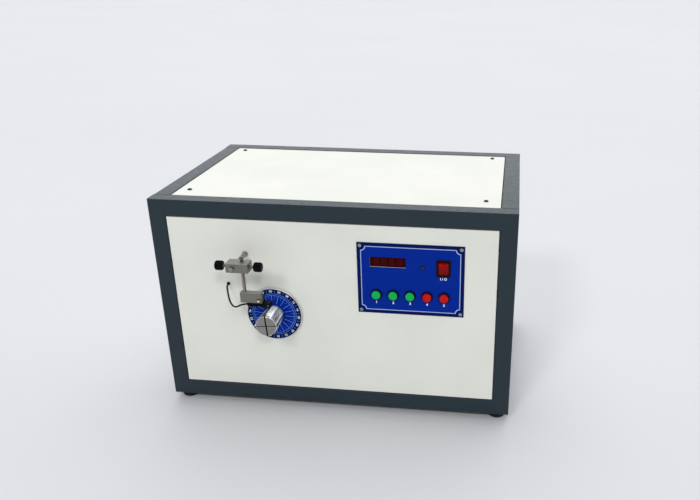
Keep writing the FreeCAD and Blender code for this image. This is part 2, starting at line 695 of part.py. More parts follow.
def end_frame(label, y, foot_y):
    """Four mitred tubes that stand up as a window."""
    pieces = []
    sides = [
        ("bottom", frame_width, 0, bottom + tube_size / 2, 0),
        ("right", frame_height, right - tube_size / 2, middle_height, -90),
        ("top", frame_width, 0, top - tube_size / 2, 180),
        ("left", frame_height, left + tube_size / 2, middle_height, 90),
    ]
    for side, length, x, z, angle in sides:
        tube = square_tube(label + "_" + side, length)
        saw_mitres(tube, length)
        if side == "bottom":
            drill_foot_holes(tube, foot_y)
        pieces.append(place(tube, x, y, z, Rotation(ABOUT_Y, angle)))
    node(group(label, pieces), label)


def side_rails():
    """Four tubes that run from the front frame to the rear frame."""
    pieces = []
    for side in (-1, 1):
        for level, z in (("low", bottom + tube_size / 2), ("high", top - tube_size / 2)):
            name = "rail_%s_%s" % ("left" if side < 0 else "right", level)
            tube = square_tube(name, opening_depth)
            x = side * (frame_width - tube_size) / 2
            pieces.append(place(tube, x, front + frame_depth / 2, z, Rotation(ABOUT_Z, 90)))
    node(group("side_rails", pieces), "side_rails")


def feet():
    """Rubber feet, each with a steel stud moulded in that screws into the frame."""
    pads = []
    studs = []
    for side, y in [(s, y) for s in (-1, 1) for y in (front + foot_inset, back - foot_inset)]:
        x = side * (frame_width / 2 - foot_inset)
        foot = turned_body("foot", [
            (0, 0),
            (foot_base_diameter / 2, 0),
            (foot_top_diameter / 2, foot_height),
            (0, foot_height),
        ])
        pads.append(place(foot, x, y, 0))
        studs.append(prism("foot_stud", foot_stud_diameter, foot_stud_length,
                           x, y, foot_height))
    node(group("feet", pads), "feet")
    node(group("foot_studs", studs), "foot_studs")


# Panels: each is drawn lying flat, its face at height 0 and its folded edges below
def tray(name, width, height):
    """A sheet panel with its four edges folded back."""
    body = new_body(name)
    wide = width - 2 * panel_gap
    high = height - 2 * panel_gap
    face = new_sketch(body, "XY")
    add_rectangle(face, wide, high)
    pad(body, face, panel_flange, reverse=True)
    round_edges(body, "Fillet", panel_edge_radius, lies_on_face)
    inside = new_sketch(body, "XY", height=-panel_flange)
    add_rectangle(inside, wide - 2 * panel_thickness, high - 2 * panel_thickness)
    pocket(body, inside, panel_flange - panel_thickness, reverse=True)
    return body


def lies_on_face(edge):
    """Whether an edge lies on the face plane of a panel that lies flat."""
    return all(abs(vertex.Point.z) < 1e-6 for vertex in edge.Vertexes)


def drill(body, diameter, x, y, depth):
    """A round hole down from the face."""
    sketch = new_sketch(body, "XY", x=x, y=y)
    add_circle(sketch, diameter)
    pocket(body, sketch, depth)


def tap(body, diameter, x, y, depth, sides=6):
    """A hole down from the face, with the outline of the thread that goes into it."""
    sketch = new_sketch(body, "XY", x=x, y=y)
    add_polygon(sketch, diameter, sides)
    pocket(body, sketch, depth)


def window(body, width, height, x, y, depth):
    """A rectangular hole down from the face."""
    sketch = new_sketch(body, "XY", x=x, y=y)
    add_rectangle(sketch, width, height)
    pocket(body, sketch, depth)


def screw(name, shank, length, head_diameter, head_height, x, y, z, along="Z"):
    """A screw with a twelve-sided head that points the given way, and its shank back."""
    direction = ALONG[along].multVec(ABOUT_Z)
    head = prism(name + "_head", head_diameter, head_height, x, y, z, along, HEAD_SIDES)
    start = [as_size(part) - length * step for part, step in zip((x, y, z), direction)]
    body = prism(name + "_shank", shank, length, *start, along)
    return fuse(name, head, body)


def tab(name, side, x, y, wall_x, depth, threaded):
    """A welded angle: one leg on the tube, the other under the panel."""
    toe = x - side * tab_margin
    web_x = (toe, wall_x) if side > 0 else (wall_x, toe)
    skin = wall_x - side * tab_thickness
    leg_x = (skin, wall_x) if side > 0 else (wall_x, skin)
    along = (y - tab_width / 2, y + tab_width / 2)
    web = block(name + "_web", web_x, along, (-depth - tab_thickness, -depth))
    leg = block(name + "_leg", leg_x, along, (-depth - tab_leg, -depth))
    angle = fuse(name + "_angle", web, leg)
    if not threaded:
        return angle
    thread = prism(name + "_thread", screw_diameter, 2 * tab_leg, x, y, -depth - tab_leg)
    return cut(name, angle, thread)


all_tabs = []
all_screws = []


def corner_spots(width, height, insets, setbacks):
    """The four fixing places of a panel, as (side, x, y)."""
    spots = []
    for side, inset in zip((-1, 1), insets):
        for end, setback in zip((-1, 1), setbacks):
            spots.append((side, side * (width / 2 - inset), end * (height / 2 - setback)))
    return spots


def weld_tabs(name, width, spots, depth, facing, x, y, z, threaded=False):
    """Four tabs on the tubes, for a panel to rest on."""
    tabs = [tab(name + "_tab", side, spot_x, spot_y, side * width / 2, depth, threaded)
            for side, spot_x, spot_y in spots]
    all_tabs.append(place(group(name + "_tabs", tabs), x, y, z, FACING[facing]))


def screwed_panel(label, width, height, spots, facing, x, y, z):
    """A tray that comes off: four screws go through its face into its tabs."""
    body = tray(label, width, height)
    screws = []
    length = panel_flange + tab_thickness + screw_past_tab
    for side, spot_x, spot_y in spots:
        tap(body, screw_diameter, spot_x, spot_y, 2 * panel_thickness)
        screws.append(screw(label + "_screw", screw_diameter, length, screw_head_diameter,
                            screw_head_height, spot_x, spot_y, 0))
    weld_tabs(label, width, spots, panel_flange, facing, x, y, z, threaded=True)
    all_screws.append(place(group(label + "_screws", screws), x, y, z, FACING[facing]))
    node(place(body, x, y, z, FACING[facing]), label)
    return body


def welded_panel(label, width, height, facing, x, y, z):
    """A tray that is spot-welded to its tabs from inside."""
    body = tray(label, width, height)
    spots = corner_spots(width, height, side_insets, side_setbacks)
    weld_tabs(label, width, spots, panel_flange, facing, x, y, z)
    node(place(body, x, y, z, FACING[facing]), label)
    return body


middle_y = front + frame_depth / 2
side_insets = (side_tab_inset, side_tab_inset)
side_setbacks = (side_tab_setback, side_tab_setback)


def top_panel():
    spots = corner_spots(opening_width, opening_depth, (top_screw_left, top_screw_right),
                         (top_screw_front, top_screw_rear))
    screwed_panel("top_panel", opening_width, opening_depth, spots, "up",
                  0, middle_y, top - panel_recess)


def side_panels():
    welded_panel("left_side_panel", opening_depth, opening_height, "left",
                 left + panel_recess, middle_y, middle_height)
    welded_panel("right_side_panel", opening_depth, opening_height, "right",
                 right - panel_recess, middle_y, middle_height)


def rear_panel():
    spots = corner_spots(opening_width, opening_height, side_insets, side_setbacks)
    body = screwed_panel("rear_panel", opening_width, opening_height, spots, "rear",
                         0, back - panel_recess, middle_height)
    x = -inlet_x
    z = inlet_z - middle_height
    deep = 2 * panel_thickness
    window(body, inlet_width, inlet_height, x, z, deep)
    for side in (-1, 1):
        tap(body, plate_screw_diameter, x + side * inlet_screw_pitch / 2, z, deep)
    for column in (-1, 1):
        for row in range(vent_count):
            height = (row - (vent_count - 1) / 2) * vent_pitch
            window(body, vent_length, vent_height, column * vent_length, height, deep)


def base_plate():
    spots = corner_spots(opening_width, opening_depth, side_insets, side_setbacks)
    body = new_body("base_plate")
    face = new_sketch(body, "XY")
    add_rectangle(face, opening_width - 2 * panel_gap, opening_depth - 2 * panel_gap)
    pad(body, face, base_thickness, reverse=True)
    for x, y in stand_bolt_spots():
        tap(body, drive_screw, x, y - middle_y, 2 * base_thickness)
    weld_tabs("base_plate", opening_width, spots, base_thickness, "up", 0, middle_y, base_top)
    node(place(body, 0, middle_y, base_top), "base_plate")


# Controls: their places on the front, as (x, z)
window_spot = (plate_left + window_right, plate_bottom + window_up)
lamp_spot = (plate_left + lamp_right, plate_bottom + lamp_up)
rocker_spot = (plate_left + rocker_right, plate_bottom + rocker_up)
button_spots = [
    (plate_left + button_first + index * button_pitch, plate_bottom + button_up)
    for index in range(5)
]
plate_screw_spots = [
    (plate_left + plate_width / 2 + i * (plate_width / 2 - plate_screw_inset),
     plate_bottom + plate_height / 2 + j * (plate_height / 2 - plate_screw_inset))
    for i, j in CORNERS
]
standoff_inset = board_inset + standoff_diameter
standoff_spots = [
    (plate_left + plate_width / 2 + i * (plate_width / 2 - standoff_inset),
     plate_bottom + plate_height / 2 + j * (plate_height / 2 - standoff_inset))
    for i, j in CORNERS
]


def cut_control_holes(body, x, z, depth):
    """The cut-outs that the controls need in the plate and in the panel behind it."""
    window(body, window_width, window_height, window_spot[0] - x, window_spot[1] - z, depth)
    window(body, switch_width, switch_height, rocker_spot[0] - x, rocker_spot[1] - z, depth)
    tap(body, lamp_shank, lamp_spot[0] - x, lamp_spot[1] - z, depth)
    for spot in button_spots:
        tap(body, button_body, spot[0] - x, spot[1] - z, depth, HEAD_SIDES)
    for spot in plate_screw_spots:
        tap(body, plate_screw_diameter, spot[0] - x, spot[1] - z, depth)


def front_panel():
    body = welded_panel("front_panel", opening_width, opening_height, "front",
                        0, panel_face, middle_height)
    deep = 2 * panel_thickness
    cut_control_holes(body, 0, middle_height, deep)
    drill(body, spindle_hole, spindle_x, spindle_z - middle_height, deep)
    drill(body, support_rod, support_x, support_z - middle_height, deep)
    tap(body, grommet_neck, left + grommet_from_left,
        bottom + grommet_from_bottom - middle_height, deep)
    for x, z in standoff_spots:
        post = new_sketch(body, "XY", x=x, y=z - middle_height, height=-panel_thickness)
        add_polygon(post, standoff_diameter)
        pad(body, post, board_depth - panel_thickness, reverse=True)


def control_plate():
    body = new_body("control_plate")
    face = new_sketch(body, "XY")
    add_rectangle(face, plate_width, plate_height)
    pad(body, face, plate_thickness, reverse=True)
    x = plate_left + plate_width / 2
    z = plate_bottom + plate_height / 2
    cut_control_holes(body, x, z, 2 * plate_thickness)
    node(place(body, x, plate_face, z, FACING["front"]), "control_plate")


def small_screw(x, y, z, along):
    """A screw of the control plate or of the mains inlet."""
    return screw("small_screw", plate_screw_diameter, plate_screw_length, plate_screw_head,
                 plate_screw_head_height, x, y, z, along)


def small_screws():
    screws = [small_screw(x, plate_face, z, "-Y") for x, z in plate_screw_spots]
    for side in (-1, 1):
        screws.append(small_screw(inlet_x + side * inlet_screw_pitch / 2,
                                  back - panel_recess + inlet_flange, inlet_z, "Y"))
    node(group("plate_and_inlet_screws", screws), "plate_and_inlet_screws")


def display_and_board():
    x, z = window_spot
    half_w = window_width / 2
    half_h = window_height / 2
    node(block("display_window",
               (x - half_w - window_lap, x + half_w + window_lap),
               (panel_back, panel_back + window_sheet),
               (z - half_h - window_lap, z + half_h + window_lap)), "display_window")
    board_front = panel_face + board_depth
    module = block("digit_module", (x - half_w, x + half_w),
                   (panel_back + window_sheet, board_front), (z - half_h, z + half_h))
    sheet_of_board = block("board_sheet",
                           (plate_left + board_inset, plate_left + plate_width - board_inset),
                           (board_front, board_front + board_thickness),
                           (plate_bottom + board_inset,
                            plate_bottom + plate_height - board_inset))
    node(fuse("control_board", sheet_of_board, module), "control_board")


def indicator_lamp():
    lens = turned_body("lamp_lens", [
        (0, 0),
        (lamp_head / 2, 0),
        (lamp_head / 2, lamp_rim),
        (lamp_head / 4, lamp_rim + lamp_dome),
        (0, lamp_rim + lamp_dome),
    ])
    place(lens, lamp_spot[0], plate_face, lamp_spot[1], ALONG["-Y"])
    holder = prism("lamp_holder", lamp_shank, lamp_length, lamp_spot[0], plate_face,
                   lamp_spot[1], "Y")
    node(fuse("indicator_lamp", lens, holder), "indicator_lamp")


rocker_y = plate_face + rocker_pivot_depth
rocker_pin_length = rocker_width + 2 * rocker_pin_reach


def power_switch():
    x, z = rocker_spot
    bezel = block("switch_bezel", (x - bezel_width / 2, x + bezel_width / 2),
                  (plate_face - bezel_thickness, plate_face),
                  (z - bezel_height / 2, z + bezel_height / 2))
    case = block("switch_case", (x - switch_width / 2, x + switch_width / 2),
                 (plate_face, plate_face + switch_depth),
                 (z - switch_height / 2, z + switch_height / 2))
    half_recess = rocker_half_height + rocker_room
    half_width = rocker_width / 2 + rocker_side_gap
    recess = block("switch_recess", (x - half_width, x + half_width),
                   (plate_face - bezel_thickness - PAST, plate_face + rocker_recess),
                   (z - half_recess, z + half_recess))
    axle_hole = cylinder("switch_axle_hole", rocker_pin + 2 * running_clearance,
                         switch_width, x - switch_width / 2, rocker_y, z, "X")
    node(cut("power_switch_housing", fuse("switch_shell", bezel, case), recess, axle_hole),
         "power_switch_housing")


def power_rocker():
    x, z = rocker_spot
    body = new_body("power_rocker")
    section = new_sketch(body, "YZ")
    add_outline(section, [
        (-rocker_end_reach, rocker_half_height),
        (rocker_dip - rocker_end_reach, 0),
        (-rocker_end_reach, -rocker_half_height),
        (0, -rocker_half_height),
        (rocker_back, -rocker_heel),
        (rocker_back, rocker_heel),
        (0, rocker_half_height),
    ])
    pad(body, section, rocker_width, middle=True)
    pins = new_sketch(body, "YZ")
    add_circle(pins, rocker_pin)
    pad(body, pins, rocker_pin_length, middle=True)
    place(body, x, rocker_y, z, Rotation(ABOUT_X, rocker_tilt.value))
    bind(body, "Placement.Rotation.Angle", rocker_tilt)
    node(body, "power_rocker")


BUTTON_NAMES = ["green_button_left", "green_button_middle", "green_button_right",
                "red_button_left", "red_button_right"]
cap_low = button_ring_floor + button_travel + button_bottom_gap


def buttons():
    bodies = []
    nuts = []
    nut_y = plate_face + plate_thickness + panel_thickness
    for name, (x, z) in zip(BUTTON_NAMES, button_spots):
        bodies.append(place(button_shell(), x, plate_face, z, ALONG["-Y"]))
        blank = prism("button_nut", across_corners(nut_across), nut_height, x, nut_y, z, "Y")
        thread = prism("nut_thread", button_body, nut_height + 2 * PAST, x, nut_y - PAST, z,
                       "Y", HEAD_SIDES)
        nuts.append(cut("button_nut", blank, thread))
        cap = turned_body(name, [
            (0, cap_low),
            (button_cap_diameter / 2, cap_low),
            (button_cap_diameter / 2, cap_low + button_cap_height),
            (0, cap_low + button_cap_height),
        ])
        stem = new_sketch(cap, "XY", height=cap_low)
        add_rectangle(stem, button_stem, button_stem)
        pad(cap, stem, cap_low + button_stem_length, reverse=True)
        node(place(cap, x, plate_face, z, ALONG["-Y"]), name)
    node(group("button_bodies", bodies), "button_bodies")
    node(group("button_nuts", nuts), "button_nuts")


def button_shell():
    """The ring and the threaded body of one button, with a square guide for its stem."""
    recess = button_cap_diameter / 2 + 2 * running_clearance
    shell = turned_body("button_shell", [
        (0, 0),
        (button_ring / 2, 0),
        (button_ring / 2, button_ring_height),
        (recess, button_ring_height),
        (recess, button_ring_floor),
        (0, button_ring_floor),
    ])
    thread = new_sketch(shell, "XY")
    add_polygon(thread, button_body, HEAD_SIDES)
    pad(shell, thread, button_body_length, reverse=True)
    guide = new_sketch(shell, "XY", height=button_ring_floor)
    side = button_stem + 2 * running_clearance
    add_rectangle(guide, side, side)
    pocket(shell, guide, button_ring_floor + button_body_length + PAST)
    return shell


# Spindle, its bearings and its drive. Turned pieces inside the cabinet are drawn from
# their front end, with their height running into the cabinet.
dial_back = front - dial_standoff
dial_front = dial_back - dial_thickness
mandrel_length = mandrel_face - dial_standoff - dial_thickness
housing_front = front + housing_depth
housing_back = housing_front + housing_length
encoder_y = housing_back + encoder_gap
coupling_y = encoder_y + encoder_hub_length + coupling_gap
rear_upright = coupling_y + coupling_length + motor_clearance
motor_face = rear_upright + stand_plate
front_upright = housing_front + housing_flange_thickness
shaft_shoulder = housing_back + shaft_past_housing
shaft_end = shaft_shoulder + tail_length


def on_spindle(body, y, along="Y"):
    """Put a turned piece on the spindle axis."""
    return place(body, spindle_x, y, spindle_z, ALONG[along])


def mandrel():
    radius = mandrel_diameter / 2
    body = turned_body("mandrel", [
        (nose_diameter / 2, 0),
        (mandrel_neck / 2, 0),
        (mandrel_neck / 2, mandrel_length - mandrel_collar),
        (radius, mandrel_length - mandrel_collar),
        (radius, mandrel_length - mandrel_chamfer),
        (radius - mandrel_chamfer, mandrel_length),
        (0, mandrel_length),
        (0, nose_length),
        (nose_diameter / 2, nose_length),
    ])
    for across, along in ((wide_slot, 2 * mandrel_diameter), (2 * mandrel_diameter, thin_slot)):
        slot = new_sketch(body, "XY", height=mandrel_length, turn=slot_turn)
        add_rectangle(slot, across, along)
        pocket(body, slot, slot_depth)
    node(on_spindle(body, dial_front, "-Y"), "mandrel")


def dial():
    radius = dial_diameter / 2
    body = turned_body("dial", [
        (nose_diameter / 2, 0),
        (radius, 0),
        (radius, dial_thickness - dial_bevel),
        (radius - dial_bevel, dial_thickness),
        (nose_diameter / 2, dial_thickness),
    ])
    node(on_spindle(body, dial_back, "-Y"), "dial")
    hub = turned_body("dial_hub", [
        (shaft_diameter / 2, 0),
        (hub_diameter / 2, 0),
        (hub_diameter / 2, hub_length - hub_bevel),
        (hub_diameter / 2 - hub_bevel, hub_length),
        (shaft_diameter / 2, hub_length),
    ])
    node(on_spindle(hub, dial_back), "dial_hub")


def spindle_shaft():
    body = turned_body("spindle_shaft", [
        (0, dial_back - shaft_end),
        (tail_diameter / 2, dial_back - shaft_end),
        (tail_diameter / 2, dial_back - shaft_shoulder),
        (shaft_diameter / 2, dial_back - shaft_shoulder),
        (shaft_diameter / 2, 0),
        (nose_diameter / 2, 0),
        (nose_diameter / 2, dial_thickness + nose_length),
        (0, dial_thickness + nose_length),
    ])
    node(on_spindle(body, dial_back, "-Y"), "spindle_shaft")


def bearing_housing():
    seat = bearing_outer / 2
    step = seat - bearing_shoulder
    body = turned_body("bearing_housing", [
        (seat, 0),
        (housing_flange / 2, 0),
        (housing_flange / 2, housing_flange_thickness),
        (housing_barrel / 2, housing_flange_thickness),
        (housing_barrel / 2, housing_length),
        (seat, housing_length),
        (seat, housing_length - bearing_width),
        (step, housing_length - bearing_width),
        (step, bearing_width),
        (seat, bearing_width),
    ])
    for turn_x, turn_z in QUARTERS:
        spot = housing_bolt_circle / 2
        bolt = new_sketch(body, "XY", x=turn_x * spot, y=turn_z * spot)
        add_polygon(bolt, drive_screw)
        pocket(body, bolt, 2 * housing_flange_thickness, reverse=True)
    node(on_spindle(body, housing_front), "bearing_housing")
    rings = [bearing(housing_front), bearing(housing_back - bearing_width)]
    node(group("spindle_bearings", rings), "spindle_bearings")


def bearing(y):
    """A shielded ball bearing."""
    ring = cylinder("bearing_ring", bearing_outer, bearing_width, spindle_x, y, spindle_z, "Y")
    bore = cylinder("bearing_bore", shaft_diameter + 2 * running_clearance, bearing_width + 2 * PAST,
                    spindle_x, y - PAST, spindle_z, "Y")
    return cut("bearing", ring, bore)


def encoder():
    bore = tail_diameter / 2
    radius = encoder_diameter / 2
    body = turned_body("encoder_disc", [
        (bore, 0),
        (radius, 0),
        (radius, encoder_thickness),
        (encoder_hub_diameter / 2, encoder_thickness),
        (encoder_hub_diameter / 2, encoder_hub_length),
        (bore, encoder_hub_length),
    ])
    slot = new_sketch(body, "XY", x=radius - encoder_rim - encoder_slot_length / 2)
    add_rectangle(slot, encoder_slot_length, encoder_slot_width)
    opening = pocket(body, slot, 2 * encoder_thickness, reverse=True)
    polar_pattern(body, opening, encoder_slots)
    node(on_spindle(body, encoder_y), "encoder_disc")

    low = spindle_z + housing_barrel / 2 + sensor_gap
    mouth_top = spindle_z + radius + sensor_gap
    mouth_end = encoder_y + encoder_thickness + sensor_gap
    half = sensor_width / 2
    arm = block("encoder_arm", (spindle_x - half, spindle_x + half),
                (front_upright + stand_plate, mouth_end + sensor_cheek),
                (low, mouth_top + sensor_rise))
    mouth = block("encoder_mouth", (spindle_x - half - PAST, spindle_x + half + PAST),
                  (encoder_y - sensor_gap, mouth_end), (low - PAST, mouth_top))
    node(cut("encoder_sensor", arm, mouth), "encoder_sensor")


def coupling_and_motor():
    sleeve = cylinder("coupling_sleeve", coupling_diameter, coupling_length, spindle_x,
                      coupling_y, spindle_z, "Y")
    bore = cylinder("coupling_bore", tail_diameter, coupling_length + 2 * PAST, spindle_x,
                    coupling_y - PAST, spindle_z, "Y")
    node(cut("shaft_coupling", sleeve, bore), "shaft_coupling")

    shaft_start = shaft_end + shaft_end_gap
    shaft_stop = motor_face + shaft_in_gearbox
    node(cylinder("motor_shaft", tail_diameter, shaft_stop - shaft_start,
                  spindle_x, shaft_start, spindle_z, "Y"), "motor_shaft")

    half = motor_side / 2
    inner = half - motor_step
    gearbox_end = motor_face + gearbox_length
    gearbox = block("gearbox", (spindle_x - half, spindle_x + half), (motor_face, gearbox_end),
                    (spindle_z - half, spindle_z + half))
    motor = block("motor_case", (spindle_x - inner, spindle_x + inner),
                  (gearbox_end, gearbox_end + motor_length),
                  (spindle_z - inner, spindle_z + inner))
    pilot = cylinder("gearbox_pilot", motor_pilot, stand_plate, spindle_x, rear_upright,
                     spindle_z, "Y")
    room = cylinder("gearbox_bore", tail_diameter + 2 * running_clearance,
                    shaft_stop + shaft_end_float - rear_upright + PAST,
                    spindle_x, rear_upright - PAST, spindle_z, "Y")
    threads = [prism("gearbox_thread", drive_screw, 2 * stand_plate, x, motor_face, z, "Y")
               for x, z in motor_bolt_spots()]
    shell = fuse("gear_motor_shell", gearbox, motor, pilot)
    node(cut("gear_motor", shell, room, *threads), "gear_motor")


def motor_bolt_spots():
    """The four bolts of the gearbox, as (x, z)."""
    return [(spindle_x + i * motor_bolt_pitch / 2, spindle_z + j * motor_bolt_pitch / 2)
            for i, j in CORNERS]


def stand_bolt_spots():
    """The four bolts of the drive stand in the base plate, as (x, y)."""
    inset = 2 * drive_screw_head
    middle = (front_upright + motor_face) / 2
    half = (motor_face - front_upright) / 2 - inset
    return [(spindle_x + i * (stand_width / 2 - inset), middle + j * half) for i, j in CORNERS]


def drive_stand():
    body = new_body("drive_stand")
    section = new_sketch(body, "YZ")
    low = front_upright - front
    high = motor_face - front
    tall = spindle_z + stand_above - base_top
    add_outline(section, [
        (low, 0),
        (high, 0),
        (high, tall),
        (high - stand_plate, tall),
        (high - stand_plate, stand_plate),
        (low + stand_plate, stand_plate),
        (low + stand_plate, tall),
        (low, tall),
    ])
    pad(body, section, stand_width, middle=True)
    axis_height = spindle_z - base_top
    barrel = new_sketch(body, "XZ", y=axis_height)
    add_circle(barrel, housing_barrel)
    pocket(body, barrel, low + 2 * stand_plate)
    pilot = new_sketch(body, "XZ", y=axis_height, height=-low - 2 * stand_plate)
    add_circle(pilot, motor_pilot)
    pocket(body, pilot, high - low)
    for turn_x, turn_z in QUARTERS:
        spot = housing_bolt_circle / 2
        bolt = new_sketch(body, "XZ", x=turn_x * spot, y=axis_height + turn_z * spot)
        add_polygon(bolt, drive_screw)
        pocket(body, bolt, low + 2 * stand_plate)
    for x, z in motor_bolt_spots():
        bolt = new_sketch(body, "XZ", x=x - spindle_x, y=z - base_top,
                          height=-low - 2 * stand_plate)
        add_polygon(bolt, drive_screw)
        pocket(body, bolt, high - low)
    for x, y in stand_bolt_spots():
        bolt = new_sketch(body, "XY", x=x - spindle_x, y=y - front)
        add_polygon(bolt, drive_screw)
        pocket(body, bolt, 2 * stand_plate, reverse=True)
    node(place(body, spindle_x, front, base_top), "drive_stand")


def drive_screws():
    screws = []
    for turn_x, turn_z in QUARTERS:
        spot = housing_bolt_circle / 2
        screws.append(hex_screw(spindle_x + turn_x * spot, housing_front,
                                spindle_z + turn_z * spot,
                                housing_flange_thickness + stand_plate, "-Y"))
    for x, z in motor_bolt_spots():
        screws.append(hex_screw(x, rear_upright, z, 2 * stand_plate, "-Y"))
    for x, y in stand_bolt_spots():
        screws.append(hex_screw(x, y, base_top + stand_plate,
                                stand_plate + base_thickness, "Z"))
    node(group("drive_screws", screws), "drive_screws")


def hex_screw(x, y, z, grip, along):
    """A hexagon-headed screw whose head points the given way from the point."""
    direction = ALONG[along].multVec(ABOUT_Z)
    start = [as_size(part) - grip * step for part, step in zip((x, y, z), direction)]
    head = prism("hex_head", across_corners(drive_screw_head), drive_screw_head_height,
                 x, y, z, along)
    shank = prism("hex_shank", drive_screw, grip, *start, along)
    return fuse("hex_screw", head, shank)


# Rod stand: support rod, cross block, thumb screws and probe
def support_stand():
    radius = support_rod / 2
    rear = panel_back + support_tail
    length = rear - (front - support_reach)
    body = turned_body("support_rod", [
        (0, 0),
        (radius, 0),
        (radius, length - support_rod_bevel),
        (radius - support_rod_bevel, length),
        (0, length),
    ])
    node(place(body, support_x, rear, support_z, ALONG["-Y"]), "support_rod")
    collar = cylinder("support_collar", collar_diameter, collar_thickness,
                      support_x, panel_face, support_z, "-Y")
    nut = prism("support_nut", across_corners(support_nut_across), support_nut_height,
                support_x, panel_back, support_z, "Y")
    pieces = []
    for blank, y, length in ((collar, panel_face - collar_thickness, collar_thickness),
                             (nut, panel_back, support_nut_height)):
        hole = cylinder(blank.Name + "_hole", support_rod, length + 2 * PAST,
                        support_x, y - PAST, support_z, "Y")
        pieces.append(cut(blank.Name + "_ring", blank, hole))
    node(group("support_rod_nuts", pieces), "support_rod_nuts")


def cross_block():
    x = (block_left + block_right) / 2
    body = new_body("cross_block")
    outline = new_sketch(body, "XY")
    add_rectangle(outline, block_width, block_depth)
    pad(body, outline, block_height, middle=True)
    round_edges(body, "Chamfer", block_chamfer, lambda edge: True)
    rod_bore = new_sketch(body, "XZ", x=support_x - x)
    add_circle(rod_bore, support_rod + 2 * running_clearance)
    pocket(body, rod_bore, 2 * block_depth, middle=True)
    probe_bore = new_sketch(body, "XY", x=probe_x - x)
    add_circle(probe_bore, probe_rod + 2 * running_clearance)
    pocket(body, probe_bore, 2 * block_height, middle=True)
    for side, depth in ((-1, block_left_of_rod), (1, block_right - probe_x)):
        thread = new_sketch(body, "YZ", height=side * block_width / 2)
        add_circle(thread, thumb_shank + 2 * running_clearance)
        pocket(body, thread, depth, reverse=side < 0)
    node(place(body, x, probe_y, support_z), "cross_block")


def thumb_screw(name, x, tip_x, side):
    """A steel screw with a knurled head on its outer end."""
    along = "X" if side > 0 else "-X"
    length = side * (x - tip_x) + thumb_shank_in_head
    node(cylinder(name + "_shank", thumb_shank, length, tip_x, probe_y, support_z, along),
         name + "_shank")
    body = new_body(name + "_knob")
    collar = new_sketch(body, "XY")
    add_circle(collar, thumb_collar)
    pad(body, collar, thumb_collar_length)
    knurl = new_sketch(body, "XY", height=thumb_collar_length)
    add_outline(knurl, knurl_corners())
    pad(body, knurl, thumb_head_length - thumb_collar_length)
    seat = new_sketch(body, "XY")
    add_circle(seat, thumb_shank)
    pocket(body, seat, thumb_shank_in_head, reverse=True)
    node(place(body, x, probe_y, support_z, ALONG[along]), name + "_knob")


def knurl_corners():
    """The outline of a knurled head: ridges and grooves by turns."""
    corners = []
    for step in range(2 * thumb_ridges):
        angle = math.pi * (step + 0.5) / thumb_ridges
        radius = thumb_head / 2 - (step % 2) * thumb_groove
        corners.append((radius * math.cos(angle), radius * math.sin(angle)))
    return corners


def probe_parts():
    length = probe_rod_grip + probe_block_drop + block_height + probe_rod_above
    radius = probe_rod / 2
    rod = turned_body("probe_rod", [
        (0, 0),
        (radius, 0),
        (radius, length - probe_rod_bevel),
        (radius - probe_rod_bevel, length),
        (0, length),
    ])
    node(place(rod, probe_x, probe_y, probe_block_top - probe_rod_grip), "probe_rod")

    x = (probe_block_x + probe_block_end) / 2
    z = (probe_block_top + probe_block_bottom) / 2
    brass_x = probe_block_end - brass_inset
    brass_z = probe_block_bottom + brass_up
    body = new_body("probe_block")
    outline = new_sketch(body, "XY")
    add_rectangle(outline, probe_block_width, probe_block_depth)
    pad(body, outline, probe_block_height, middle=True)
    round_edges(body, "Chamfer", block_chamfer, lambda edge: True)
    seat = new_sketch(body, "XY", x=probe_x - x, height=probe_block_height / 2)
    add_circle(seat, probe_rod)
    pocket(body, seat, probe_rod_grip)
    brass = new_sketch(body, "XZ", x=brass_x - x, y=brass_z - z)
    add_polygon(brass, brass_shank)
    pocket(body, brass, 2 * probe_block_depth, middle=True)
    node(place(body, x, probe_y, z), "probe_block")

    head = cylinder("brass_head", brass_head, brass_head_height, brass_x, probe_block_front,
                    brass_z, "-Y")
    shank = prism("brass_shank", brass_shank, probe_block_depth + arm_upstand,
                  brass_x, probe_block_front, brass_z, "Y")
    node(fuse("brass_screw", head, shank), "brass_screw")
    feeler_arm(brass_x, brass_z)


